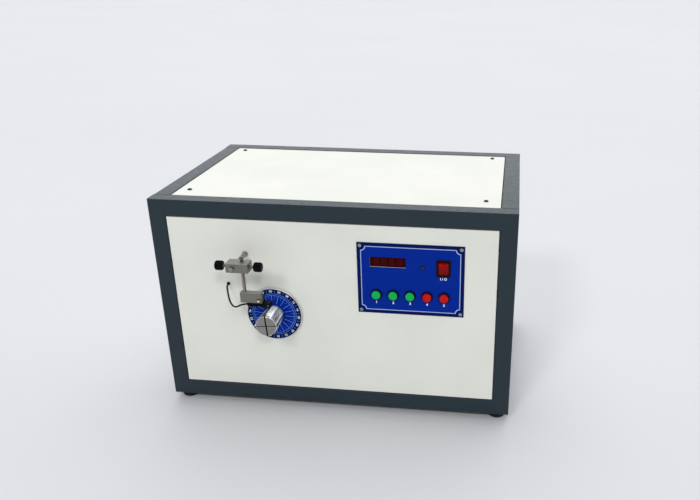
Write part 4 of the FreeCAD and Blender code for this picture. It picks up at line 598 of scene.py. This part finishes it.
def add_tube(mesh, line, radius, steps=16):
    """A round tube along points in metres."""
    loops = []
    side = (line[1] - line[0]).cross(UP).normalized()
    for index, point in enumerate(line):
        before = line[max(index - 1, 0)]
        after = line[min(index + 1, len(line) - 1)]
        along = (after - before).normalized()
        side = (side - along * side.dot(along)).normalized()
        across = along.cross(side)
        loops.append([point + radius * (side * math.cos(a) + across * math.sin(a))
                      for a in [2 * math.pi * step / steps for step in range(steps)]])
    add_loft(mesh, loops, Matrix.Identity(4))


def sensor_cable():
    """Two lengths, because the cable crosses two joints on its way to the feeler."""
    route = [cable_start + Vector(offset) for offset in CABLE_POINTS]
    route += [cable_end - CABLE_LEAD_IN, cable_end]
    line = smooth_route(route)
    half = len(line) // 2
    lengths = [("cable_near", line[:half + 1], "cabinet", "cross_slide"),
               ("cable_far", line[half:], "cross_slide", "probe_head")]
    for name, run, first_body, second_body in lengths:
        mesh = bmesh.new()
        add_tube(mesh, run, CABLE_DIAMETER / 2 * MM)
        cable = piece(name, mesh, None, [finishes["cable_rubber"]], "sensor_cable")
        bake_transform(cable)


def cable_bush():
    """A flanged rubber bush that grips the cable where it leaves the panel."""
    back = bush_low.y - bush_high.y
    barb = 3.9
    neck = 3
    flange = 3.2
    mouth = 1.9
    profile = [(0, back), (barb, back), (barb, back + 4), (neck, back + 4), (neck, -1.5),
               (flange, -1.5), (flange, -1.2), *rounded_over(neck, 0, 1.1), (mouth, 0),
               (mouth - 0.3, -0.4), (0, -0.4)]
    mesh = bmesh.new()
    add_lathe(mesh, profile, placed(bush_x, bush_low.y, bush_z, "front"), 40)
    piece("cable_bush_moulding", mesh, "cabinet", [finishes["cable_rubber"]], "cable_bush")


sensor_cable()
cable_bush()


# Cabinet
def add_cross_recess(cutter, place, span, width, depth):
    """The two bars of a cross recess, sunk from local height 0."""
    for wide, tall in ((span, width), (width, span)):
        add_box(cutter, (-wide / 2, wide / 2), (-tall / 2, tall / 2), (-depth, 1), place)


def add_screw(mesh, place, head_diameter, head_height, shank, length, turn):
    """A pan-head screw with a cross recess."""
    head = bmesh.new()
    radius = head_diameter / 2
    place = place @ Matrix.Rotation(math.radians(turn), 4, "Z")
    add_lathe(head, [(0, -length), (shank / 2, -length), (shank / 2, 0), (radius, 0),
                     (radius, head_height * 0.35), (radius * 0.9, head_height * 0.75),
                     (radius * 0.66, head_height * 0.94), (0, head_height)], place, 40)
    cutter = bmesh.new()
    add_cross_recess(cutter, place @ Matrix.Translation(UP * head_height), radius * 1.1,
                     radius * 0.26, head_height * 0.62)
    carve(head, cutter)
    data = bpy.data.meshes.new("screw")
    head.to_mesh(data)
    head.free()
    mesh.from_mesh(data)
    bpy.data.meshes.remove(data)


# How far the screws stand from the edges of the opening that a panel fills
PANEL_GAP = 1
TOP_SCREW_LEFT = 21
TOP_SCREW_RIGHT = 27
TOP_SCREW_FRONT = 34
TOP_SCREW_BACK = 20
REAR_SCREW_SIDE = 21
REAR_SCREW_END = 34
SCREW_TURNS = [18, 64, 33, 81, 12, 50, 71, 27]


def panel_screws():
    """Four screws of the top and four of the rear panel, each turned a different way."""
    top_low, top_high = box("top_panel")
    rear_low, rear_high = box("rear_panel")
    left = top_low.x - PANEL_GAP
    right = top_high.x + PANEL_GAP
    front = top_low.y - PANEL_GAP
    back = top_high.y + PANEL_GAP
    bottom = rear_low.z - PANEL_GAP
    top = rear_high.z + PANEL_GAP
    spots = []
    for x in (left + TOP_SCREW_LEFT, right - TOP_SCREW_RIGHT):
        for y in (front + TOP_SCREW_FRONT, back - TOP_SCREW_BACK):
            spots.append(placed(x, y, top_high.z))
    for x in (left + REAR_SCREW_SIDE, right - REAR_SCREW_SIDE):
        for z in (bottom + REAR_SCREW_END, top - REAR_SCREW_END):
            spots.append(placed(x, rear_high.y, z, "rear"))
    mesh = bmesh.new()
    for spot, turn in zip(spots, SCREW_TURNS):
        add_screw(mesh, spot, head_diameter=8, head_height=2.2, shank=4, length=20, turn=turn)
    piece("panel_screw_set", mesh, "cabinet", [finishes["blackened_steel"]], "panel_screws")


def rubber_feet():
    """Moulded feet with a rounded foot ring and a shallow groove under the frame."""
    low, high = box("feet")
    radius = 17
    height = 12
    profile = [(0, 1.2), (7, 1.2), (8, 0), (14.2, 0), (15, 0.8), (16.6, 9.2), (16.2, 9.6),
               (16.2, 10.2), (radius, 10.6), (radius, height), (0, height)]
    mesh = bmesh.new()
    for x in (low.x + radius, high.x - radius):
        for y in (low.y + radius, high.y - radius):
            add_lathe(mesh, profile, placed(x, y, 0), 56)
    piece("feet_mouldings", mesh, "cabinet", [finishes["foot_rubber"]], "feet")


panel_screws()
rubber_feet()


# Control plate: printed field, border, marks and the controls on it
plate_low, plate_high = box("control_plate")
plate = (plate_low + plate_high) / 2
plate_width = plate_high.x - plate_low.x
plate_height = plate_high.z - plate_low.z
plate_y = plate_low.y
switch = middle("power_switch_housing")
lamp = middle("indicator_lamp")
display = middle("display_window")
WINDOW_HOLE = (62.6, 18.8)
SWITCH_HOLE = (21.6, 28)
SWITCH_BEZEL = (25, 31)
BUTTONS = [("green_button_left", "button_green"), ("green_button_middle", "button_green"),
           ("green_button_right", "button_green"), ("red_button_left", "button_red"),
           ("red_button_right", "button_red")]
BORDER_INSET = 6.4
BORDER_WIDTH = 1.3
BORDER_NOTCH = 7.5
BUTTON_NUMBER_SIZE = 6.4
BUTTON_NUMBER_DROP = 15
SWITCH_LABEL_SIZE = 6.2
SWITCH_LABEL_DROP = 20
PLATE_SCREW_INSET = 5.7
INLET_SCREW_OFFSET = 20


def plate_print():
    """The blue field inside its pale border, with holes for the window and the switch."""
    face = placed(plate.x, plate_y, plate.z, "front")
    window_hole = rectangle(*WINDOW_HOLE, display.x - plate.x, display.z - plate.z)
    switch_hole = rectangle(*SWITCH_HOLE, switch.x - plate.x, switch.z - plate.z)
    mesh = bmesh.new()
    rims = []
    for inset in (BORDER_INSET, BORDER_INSET + BORDER_WIDTH):
        rims.append(notched_rectangle(plate_width - 2 * inset, plate_height - 2 * inset,
                                      BORDER_NOTCH))
    outer, inner = rims
    add_print(mesh, [outer, inner], face, 0)
    add_print(mesh, [inner, window_hole, switch_hole], face, 1)
    piece("plate_print", mesh, "cabinet", [pale_ink, field_ink])

    marks = bmesh.new()
    for number, (name, _) in enumerate(BUTTONS, 1):
        spot = middle(name)
        place = placed(spot.x, plate_y - INK, spot.z - BUTTON_NUMBER_DROP, "front")
        add_words(marks, str(number), BUTTON_NUMBER_SIZE, place, bold=0.22)
    place = placed(switch.x, plate_y - INK, switch.z - SWITCH_LABEL_DROP, "front")
    add_words(marks, "I / O", SWITCH_LABEL_SIZE, place, bold=0.2)
    piece("plate_marks", marks, "cabinet", [white_ink])


FIGURES = 4
FIGURE_WIDTH = 6.6
FIGURE_HEIGHT = 11.6
FIGURE_PITCH = 13.5
FIGURE_BAR = 1.3
FIGURE_GAP = 0.9
# The bars of a figure as (side, rise, upright)
SEGMENTS = [(0, 1, 0), (0, -1, 0), (0, 0, 0), (1, 0.5, 1), (-1, 0.5, 1), (1, -0.5, 1), (-1, -0.5, 1)]


def display_digits():
    """Four unlit figures, each with its point, on the red filter."""
    face = placed(display.x, box("display_window")[0].y, display.z, "front")
    across = FIGURE_WIDTH - FIGURE_BAR
    rise_span = FIGURE_HEIGHT - FIGURE_BAR
    mesh = bmesh.new()
    for figure in range(FIGURES):
        centre = (figure - (FIGURES - 1) / 2) * FIGURE_PITCH
        for side, rise, upright in SEGMENTS:
            x = centre + side * across / 2
            y = rise * rise_span / 2
            long = rise_span / 2 - FIGURE_GAP if upright else across - FIGURE_GAP
            size = (FIGURE_BAR, long) if upright else (long, FIGURE_BAR)
            add_print(mesh, [rectangle(*size, x, y)], face)
        point_x = centre + FIGURE_WIDTH / 2 + 1.9
        add_print(mesh, [disc(0.8, point_x, -FIGURE_HEIGHT / 2 + 0.6, 16)], face)
    piece("display_figures", mesh, "cabinet", [digit_ink])


def indicator_lamp():
    """A small domed lens in a black holder."""
    mesh = bmesh.new()
    place = placed(lamp.x, plate_y, lamp.z, "front")
    add_lathe(mesh, [(0, -16), (2.9, -16), (2.9, 0), (3.8, 0), (3.8, 0.7), (3.5, 0.95),
                     (2.9, 0.95)], place, 40, 1)
    add_lathe(mesh, [(2.9, 0.9), (2.9, 1.2), (2.5, 1.8), (1.7, 2.25), (0.8, 2.4), (0, 2.4)],
              place, 40, 0)
    piece("lamp", mesh, "cabinet", [finishes["lamp_green"], finishes["black_plastic"]],
          "indicator_lamp")


def switch_housing():
    """The bezel with rounded edges, its recess and the case behind the panel."""
    place = placed(switch.x, plate_y, switch.z, "front")
    wide, tall = SWITCH_BEZEL
    mesh = bmesh.new()
    outlines = [rounded_rectangle(*SWITCH_HOLE, 0.6, -22), rounded_rectangle(*SWITCH_HOLE, 0.6, 0),
                rounded_rectangle(wide, tall, 1.6, 0)]
    for inset, level in ((0, 1.0), (0.12, 1.45), (0.45, 1.82), (0.9, 2.0)):
        outlines.append(rounded_rectangle(wide - 2 * inset, tall - 2 * inset, 1.6, level))
    outlines += [rounded_rectangle(19.1, 26.6, 0.8, 2.0), rounded_rectangle(18.6, 26.1, 0.6, 1.6),
                 rounded_rectangle(18.5, 26, 0.6, -11)]
    add_loft(mesh, outlines, place)
    piece("switch_moulding", mesh, "cabinet", [finishes["black_plastic"]], "power_switch_housing")


ROCKER_TILT = 10
ROCKER_PIVOT = 3
ROCKER_WIDTH = 17.1
ROCKER_HALF_HEIGHT = 11.1
ROCKER_REACH = 7.0
ROCKER_HOLLOW = 2.3
ROCKER_EDGE = 0.9
ROCKER_FOOT = 8.1
ROCKER_BACK = 4.9
ROCKER_PIN = 1.5


def rocker_section(inset):
    """The rocker seen from the side as (up, outward): hollow face and rounded ends."""
    half = ROCKER_HALF_HEIGHT - inset
    reach = ROCKER_REACH - inset
    flat = half - ROCKER_EDGE
    end = []
    for step in range(5):
        angle = math.pi / 2 * step / 4
        end.append((flat + ROCKER_EDGE * math.cos(angle),
                    reach - ROCKER_EDGE * (1 - math.sin(angle))))
    points = list(end)
    for step in range(1, 24):
        up = flat * (1 - step / 12)
        points.append((up, reach - ROCKER_HOLLOW * (1 - (up / flat) ** 2)))
    points += [(-up, out) for up, out in reversed(end)]
    foot = ROCKER_FOOT - inset
    back = inset - ROCKER_BACK
    points += [(-half, 0), (-foot, back), (foot, back), (half, 0)]
    return points


def power_rocker():
    """The red rocker on its pin, tipped to OFF."""
    place = placed(switch.x, plate_y + ROCKER_PIVOT, switch.z, "front")
    place = place @ Matrix.Rotation(math.radians(ROCKER_TILT), 4, "X")
    mesh = bmesh.new()
    outlines = []
    half = ROCKER_WIDTH / 2
    pin_end = half + 1.3
    for side, inset in ((-half, 0.7), (-half + 0.2, 0.2), (-half + 0.7, 0), (half - 0.7, 0),
                        (half - 0.2, 0.2), (half, 0.7)):
        outlines.append([(side, up, out) for up, out in rocker_section(inset)])
    add_loft(mesh, outlines, place)
    add_lathe(mesh, [(0, -pin_end), (ROCKER_PIN, -pin_end), (ROCKER_PIN, pin_end), (0, pin_end)],
              place @ Matrix.Rotation(math.pi / 2, 4, "Y"), 24)
    piece("rocker", mesh, "rocker", [finishes["rocker_red"]], "power_rocker")


def push_buttons():
    """Domed caps in black rings with rounded rims."""
    rings = bmesh.new()
    for name, slot in BUTTONS:
        spot = middle(name)
        place = placed(spot.x, plate_y, spot.z, "front")
        add_lathe(rings, [(3.1, 0.8), (7.9, 0.8), (7.9, 3.4), (8.25, 3.8), (8.7, 4.0), (9.2, 3.9),
                          (9.7, 3.4), (10, 2.5), (10, 0), (8, 0), (8, -20), (3.1, -20), (3.1, 0.8)],
                  place, 64)
        cap = bmesh.new()
        add_lathe(cap, [(0, -14), (3, -14), (3, 3), (7.8, 3), (7.8, 5.2), (7.6, 5.7), (7.1, 6.05),
                        (5.6, 6.35), (3.6, 6.53), (1.8, 6.6), (0, 6.6)], place, 64)
        piece(name + "_cap", cap, name, [finishes[slot]], name, sharp=45)
    piece("button_rings", rings, "cabinet", [finishes["black_plastic"]], "button_bodies")


def small_screws():
    """Bright screws of the plate and of the mains inlet."""
    inlet = middle("mains_inlet")
    inlet_back = box("mains_inlet")[1].y
    spots = []
    for i, j in CORNERS:
        spots.append(placed(plate.x + i * (plate_width / 2 - PLATE_SCREW_INSET), plate_y,
                            plate.z + j * (plate_height / 2 - PLATE_SCREW_INSET), "front"))
    for side in (-INLET_SCREW_OFFSET, INLET_SCREW_OFFSET):
        spots.append(placed(inlet.x + side, inlet_back, inlet.z, "rear"))
    mesh = bmesh.new()
    for spot, turn in zip(spots, SCREW_TURNS):
        add_screw(mesh, spot, head_diameter=6.5, head_height=1.95, shank=3, length=8, turn=turn)
    piece("small_screw_set", mesh, "cabinet", [finishes["zinc_steel"]], "plate_and_inlet_screws")


plate_print()
display_digits()
indicator_lamp()
switch_housing()
power_rocker()
push_buttons()
small_screws()

# Spindle: dial with its graduation, and the slotted mandrel
dial_low, dial_high = box("dial")
mandrel_low, mandrel_high = box("mandrel")
SHAFT_RADIUS = 6
DIAL_RADIUS = 50
DIAL_BEVEL = 0.8
DIAL_BAND_RADIUS = 39.6


def dial_disc():
    """A disc with a bare rim, a dark band for the numbers and a lighter field inside it."""
    place = placed(spindle.x, dial_high.y, spindle.z, "front")
    thick = dial_high.y - dial_low.y
    profile = [(SHAFT_RADIUS, 0), (DIAL_RADIUS, 0), (DIAL_RADIUS, thick - DIAL_BEVEL),
               (DIAL_RADIUS - DIAL_BEVEL, thick), (DIAL_BAND_RADIUS, thick),
               (SHAFT_RADIUS, thick), (SHAFT_RADIUS, 0)]
    mesh = bmesh.new()
    # Bare back, side and bevel, then the band, the field and the bore
    add_lathe(mesh, profile, place, 144, [0, 0, 0, 1, 2, 0])
    piece("dial_plate", mesh, "spindle", [bright_rim, navy_ink, dial_ink], "dial")


DIAL_NUMBERS = 18
DIAL_START = 5
DIAL_SPOKES = 36
DIAL_TICKS = 72
DIAL_NUMBER_STEP = 4
DIAL_NUMBER_SIZE = 5.7
DIAL_NUMBER_RADIUS = 44.8
TICK_RADIUS = 40.3
SPOKE_RADIUS = 36.7
RING_RADII = (40.5, 36.8)
RING_WIDTH = 0.4
LONG_SPOKE = (0.6, 16)
SHORT_SPOKE = (0.22, 7)


def dial_marks():
    """Numbers, ticks, double ring and spokes, all from the turn between them."""
    mesh = bmesh.new()
    place = placed(spindle.x, dial_low.y, spindle.z, "front", DIAL_START)
    for number in range(DIAL_NUMBERS):
        turned = place @ Matrix.Rotation(-2 * math.pi * number / DIAL_NUMBERS, 4, "Z")
        spot = turned @ Matrix.Translation((0, DIAL_NUMBER_RADIUS, 0))
        add_words(mesh, "%02d" % (DIAL_NUMBER_STEP * number), DIAL_NUMBER_SIZE, spot, bold=0.1)
        half_way = turned @ Matrix.Rotation(-math.pi / DIAL_NUMBERS, 4, "Z")
        add_print(mesh, [rectangle(0.5, 3.6, 0, DIAL_NUMBER_RADIUS)], half_way, 1)
    for spoke in range(DIAL_SPOKES):
        turned = place @ Matrix.Rotation(-2 * math.pi * spoke / DIAL_SPOKES, 4, "Z")
        width, length = SHORT_SPOKE if spoke % 2 else LONG_SPOKE
        add_print(mesh, [rectangle(width, length, 0, SPOKE_RADIUS - length / 2)], turned, 1)
    for tick in range(DIAL_TICKS):
        turned = place @ Matrix.Rotation(-2 * math.pi * tick / DIAL_TICKS, 4, "Z")
        length = 2.6 if tick % 2 else 3.6
        add_print(mesh, [rectangle(0.3, length, 0, TICK_RADIUS - length / 2)], turned, 1)
    for radius in RING_RADII:
        edges = [disc(radius, steps=144), disc(radius - RING_WIDTH, steps=144)]
        add_print(mesh, edges, place, 1)
    piece("dial_marks", mesh, "spindle", [white_ink, line_ink])


MANDREL_RADIUS = 18.75
NECK_RADIUS = 17.9
BAND_LENGTH = 15
BAND_EDGE = 0.4
BORE_DEPTH = 30
GROOVE_PITCH = 0.9
GROOVE_DEPTH = 0.21
SAW_DEPTH = 9
SAW_CUTS = ((2.5, 50), (50, 1.2))
# Places of the mandrel's finishes in its list of them
SIDE = 0
FACE = 1
SHADED_CUT = 2
EDGE = 3


def grooves(radius, start, end):
    """Fine tool grooves along a turned side, as (radius, height) points."""
    count = round((end - start) / GROOVE_PITCH)
    pitch = (end - start) / count
    points = [(radius, start)]
    for groove in range(count):
        points.append((radius - GROOVE_DEPTH, start + (groove + 0.5) * pitch))
        points.append((radius, start + (groove + 1) * pitch))
    return points


def mandrel():
    """Turned and saw-slotted, with fine grooves left by the tool."""
    length = mandrel_high.y - mandrel_low.y
    band = length - BAND_LENGTH
    place = placed(spindle.x, mandrel_high.y, spindle.z, "front")
    mesh = bmesh.new()
    profile = [(SHAFT_RADIUS, 0), *grooves(NECK_RADIUS, 0, band),
               (MANDREL_RADIUS - BAND_EDGE, band),
               *grooves(MANDREL_RADIUS, band + BAND_EDGE, length - 0.8)]
    side_steps = len(profile) - 1
    profile += [(MANDREL_RADIUS - 0.25, length - 0.35), (MANDREL_RADIUS - 0.8, length),
                (0, length), (0, BORE_DEPTH), (SHAFT_RADIUS, BORE_DEPTH), (SHAFT_RADIUS, 0)]
    slots = [SIDE] * side_steps + [EDGE, EDGE, FACE] + [SIDE] * 3
    add_lathe(mesh, profile, place, 96, slots)
    cutter = bmesh.new()
    face = place @ Matrix.Translation(UP * length) @ Matrix.Rotation(math.radians(4), 4, "Z")
    for wide, tall in SAW_CUTS:
        add_box(cutter, (-wide / 2, wide / 2), (-tall / 2, tall / 2), (-SAW_DEPTH, 1), face)
    carve(mesh, cutter)
    # Painted shade: the walls inside the saw cuts take the near-black slot shade.
    back = place.inverted()
    for wall in mesh.faces:
        spot = back @ wall.calc_center_median()
        inside = math.hypot(spot.x, spot.y) < MANDREL_RADIUS - 1
        if inside and -SAW_DEPTH - 0.1 < spot.z - length < -0.05:
            wall.material_index = SHADED_CUT
    coats = [finishes["turned_aluminium"], faced_metal, slot_shade, bright_rim]
    piece("mandrel_turning", mesh, "spindle", coats, "mandrel")


dial_disc()
dial_marks()
mandrel()


# Rod stand: thumb screws, brass screw, collar and finger; and the inlet at the rear
KNOB_RADIUS = 8.25
KNOB_GROOVE = 0.7
KNOB_RIDGES = 24
SHANK_IN_KNOB = 9
THREAD_PITCH = 0.8
THREAD_CREST = 2.5
THREAD_ROOT = 2.3


def thumb_screw(side):
    """A ridged knob, drawn outwards from its inner face, on a threaded shank."""
    knob_low, knob_high = box(side + "_thumb_knob")
    shank_low, shank_high = box(side + "_thumb_shank")
    inner_x = knob_low.x if side == "right" else knob_high.x
    knob = middle(side + "_thumb_knob")
    place = placed(inner_x, knob.y, knob.z, side)
    mesh = bmesh.new()
    outlines = []
    for level, inset in ((0, 2.2), (0.3, 1.2), (0.9, 0.5), (1.9, 0.05), (2.5, 0), (11, 0),
                         (11.6, 0.05), (12.6, 0.5), (13.2, 1.2), (13.5, 2.2)):
        outline = []
        for step in range(4 * KNOB_RIDGES):
            angle = math.pi * (step / 2 + 0.5) / KNOB_RIDGES
            depth = KNOB_GROOVE * (0, 0.5, 1, 0.5)[step % 4]
            reach = min(KNOB_RADIUS - depth, KNOB_RADIUS - inset)
            outline.append((reach * math.cos(angle), reach * math.sin(angle), level))
        outlines.append(outline)
    add_loft(mesh, outlines, place)
    piece(side + "_knob", mesh, side + "_thumb_screw", [finishes["knob_black"]],
          side + "_thumb_knob", sharp=40)

    tip = SHANK_IN_KNOB - (shank_high.x - shank_low.x)
    profile = [(0, tip), (2, tip), (THREAD_CREST, tip + 0.5)]
    level = tip + THREAD_PITCH
    while level < 0:
        profile += [(THREAD_CREST, level), (THREAD_ROOT, level + 0.3), (THREAD_CREST, level + 0.6)]
        level += THREAD_PITCH
    profile += [(THREAD_CREST, SHANK_IN_KNOB), (0, SHANK_IN_KNOB)]
    thread = bmesh.new()
    add_lathe(thread, profile, place, 32)
    piece(side + "_shank", thread, side + "_thumb_screw", [finishes["rod_steel"]],
          side + "_thumb_shank")


def brass_screw():
    """A slotted screw with a bright crown; the rim of its head is coloured dark steel as painted
    shade round the head.
    """
    low, high = box("brass_screw")
    spot = middle("brass_screw")
    place = placed(spot.x, low.y, spot.z, "front", 30)
    depth = high.y - low.y
    mesh = bmesh.new()
    # Painted shade: the rim of the head, the fourth to sixth steps of the profile, takes dark
    # blackened steel.
    add_lathe(mesh, [(0, -depth), (1.5, -depth), (1.5, -3), (3, -3), (3, -1.2), (2.8, -0.7),
                     (2.1, -0.6), (2.0, -0.2), (1, 0), (0, 0)], place, 40,
              [0, 0, 0, 1, 1, 1, 0, 0, 0])
    cutter = bmesh.new()
    add_box(cutter, (-4, 4), (-0.4, 0.4), (-1.5, 1), place)
    carve(mesh, cutter)
    piece("brass_screw_turning", mesh, "probe_head",
          [finishes["screw_brass"], finishes["blackened_steel"]], "brass_screw")


COLLAR_RADIUS = 5.6
NUT_RADIUS = 7.5
NUT_HEIGHT = 6.5


def support_rod_nuts():
    """A slim collar in front of the panel and a plain hexagon nut behind it."""
    rod_low, rod_high = box("support_rod")
    rod = (rod_high.x - rod_low.x) / 2
    panel_y = box("front_panel")[0].y
    place = placed((rod_low.x + rod_high.x) / 2, panel_y, (rod_low.z + rod_high.z) / 2, "front")
    collar = COLLAR_RADIUS
    mesh = bmesh.new()
    add_lathe(mesh, [(rod, 0), (collar, 0), (collar, 1), (collar - 0.2, 1.4), (collar - 0.7, 1.6),
                     (rod, 1.6), (rod, 0)], place, 48)
    back = panel_y - box("support_rod_nuts")[1].y
    front = back + NUT_HEIGHT
    add_lathe(mesh, [(rod, back), (NUT_RADIUS, back), (NUT_RADIUS, front), (rod, front),
                     (rod, back)], place, 6)
    piece("rod_collar_and_nut", mesh, "cabinet", [finishes["zinc_steel"]], "support_rod_nuts")


FINGER_EYE = 3.5
FINGER_TIP = 2.0


def feeler_finger():
    """A small blackened finger with a round eye and a round tip."""
    low, high = box("feeler_finger")
    finger = middle("feeler_finger")
    pivot_z = middle("feeler_pin").z
    length = pivot_z - low.z
    outline = [(FINGER_EYE * math.cos(a), FINGER_EYE * math.sin(a))
               for a in [math.pi * step / 16 for step in range(17)]]
    outline += [(FINGER_TIP * math.cos(a), FINGER_TIP - length + FINGER_TIP * math.sin(a))
                for a in [math.pi * (1 + step / 12) for step in range(13)]]
    half = (high.y - low.y) / 2
    levels = ((-half, 0.93), (-half + 0.25, 1), (half - 0.25, 1), (half, 0.93))
    mesh = bmesh.new()
    add_loft(mesh, [[(x * share, y * share, level) for x, y in outline] for level, share in levels],
             placed(finger.x, finger.y, pivot_z, "front"))
    piece("finger", mesh, "feeler", [finishes["blackened_steel"]], "feeler_finger")


def mains_inlet():
    """A three-pin inlet: screwed flange, deep recess and three flat pins."""
    low, high = box("mains_inlet")
    inlet = middle("mains_inlet")
    flange = 3
    depth = 14.5
    place = placed(inlet.x, high.y - flange, inlet.z, "rear")
    behind = low.y + flange - high.y
    mesh = bmesh.new()
    outlines = [rounded_rectangle(27, 20, 1.5, behind), rounded_rectangle(27, 20, 1.5, 0),
                rounded_rectangle(50, 24, 5, 0), rounded_rectangle(50, 24, 5, flange - 0.7),
                rounded_rectangle(49.6, 23.6, 4.8, flange - 0.2),
                rounded_rectangle(49, 23, 4.6, flange), rounded_rectangle(24.6, 17.6, 3.2, flange),
                rounded_rectangle(24, 17, 3, flange - 0.4),
                rounded_rectangle(23.6, 16.6, 3, flange - depth)]
    add_loft(mesh, outlines, place)
    for x, z in ((-7, -2), (0, 3), (7, -2)):
        pin = place @ Matrix.Translation((x, z, 0))
        add_loft(mesh, [rounded_rectangle(2, 4, 0.3, flange - depth - 1),
                        rounded_rectangle(2, 4, 0.3, -1.2), rounded_rectangle(1, 3, 0.3, 0)],
                 pin, 1)
    piece("inlet_moulding", mesh, "cabinet", [finishes["black_plastic"], finishes["zinc_steel"]],
          "mains_inlet")


thumb_screw("left")
thumb_screw("right")
brass_screw()
support_rod_nuts()
feeler_finger()
mains_inlet()

# Floor and light
FLOOR_RADIUS = 30.0
FLOOR_SWEEP = 6.0
SWEEP_STEPS = 12


def studio_floor():
    """A wide disc in metres whose rim sweeps up, so that the backdrop is pale all round."""
    profile = [(0, 0)]
    for step in range(SWEEP_STEPS + 1):
        angle = math.pi / 2 * step / SWEEP_STEPS
        profile.append((FLOOR_RADIUS + FLOOR_SWEEP * math.sin(angle),
                        FLOOR_SWEEP * (1 - math.cos(angle))))
    mesh = bmesh.new()
    add_lathe(mesh, profile, Matrix.Identity(4), 128)
    coat = Finish("floor", srgb(212, 213, 216), 0.6)
    coat.tint(coat.noise(0.7, 2), 0.98, 1.01)
    floor = piece("floor", mesh, None, [coat])


def soft_light(name, azimuth, elevation, spread, strength):
    """Even light from far away; azimuth 0 is the front, and a wider spread is softer."""
    data = bpy.data.lights.new(name, "SUN")
    data.energy = strength
    data.angle = math.radians(spread)
    light = bpy.data.objects.new(name, data)
    light.rotation_euler = (math.radians(90 - elevation), 0, math.radians(azimuth))
    bpy.context.collection.objects.link(light)


studio_floor()
soft_light("overhead", 180, 70, 60, 1.05)
soft_light("key_left", -20, 40, 12, 0.72)
soft_light("key_right", 24, 38, 10, 0.72)


def studio_world(front, top, rear):
    """Dim towards the front, and brightest in a band of height behind the object."""
    world = bpy.data.worlds.new("studio")
    world.use_nodes = True
    tree = world.node_tree
    background = tree.nodes["Background"]
    background.inputs["Color"].default_value = srgb(240, 242, 245)
    parts = tree.nodes.new("ShaderNodeSeparateXYZ")
    tree.links.new(tree.nodes.new("ShaderNodeTexCoord").outputs["Generated"], parts.inputs[0])
    # Axis, where the step starts and ends on it, and the values before and after the step
    steps = [("Y", -0.2, 0.7, front, rear), ("Z", 0.45, 0.85, 0, 1)]
    results = []
    for axis, start, end, low, high in steps:
        step = tree.nodes.new("ShaderNodeMapRange")
        step.interpolation_type = "SMOOTHSTEP"
        step.inputs["From Min"].default_value = start
        step.inputs["From Max"].default_value = end
        step.inputs["To Min"].default_value = low
        step.inputs["To Max"].default_value = high
        tree.links.new(parts.outputs[axis], step.inputs["Value"])
        results.append(step.outputs["Result"])
    mix = tree.nodes.new("ShaderNodeMix")
    mix.inputs[3].default_value = top
    tree.links.new(results[1], mix.inputs[0])
    tree.links.new(results[0], mix.inputs[2])
    tree.links.new(mix.outputs[0], background.inputs["Strength"])
    bpy.context.scene.world = world


studio_world(0.31, 0.5, 1.65)
bpy.context.scene.view_settings.view_transform = "Standard"
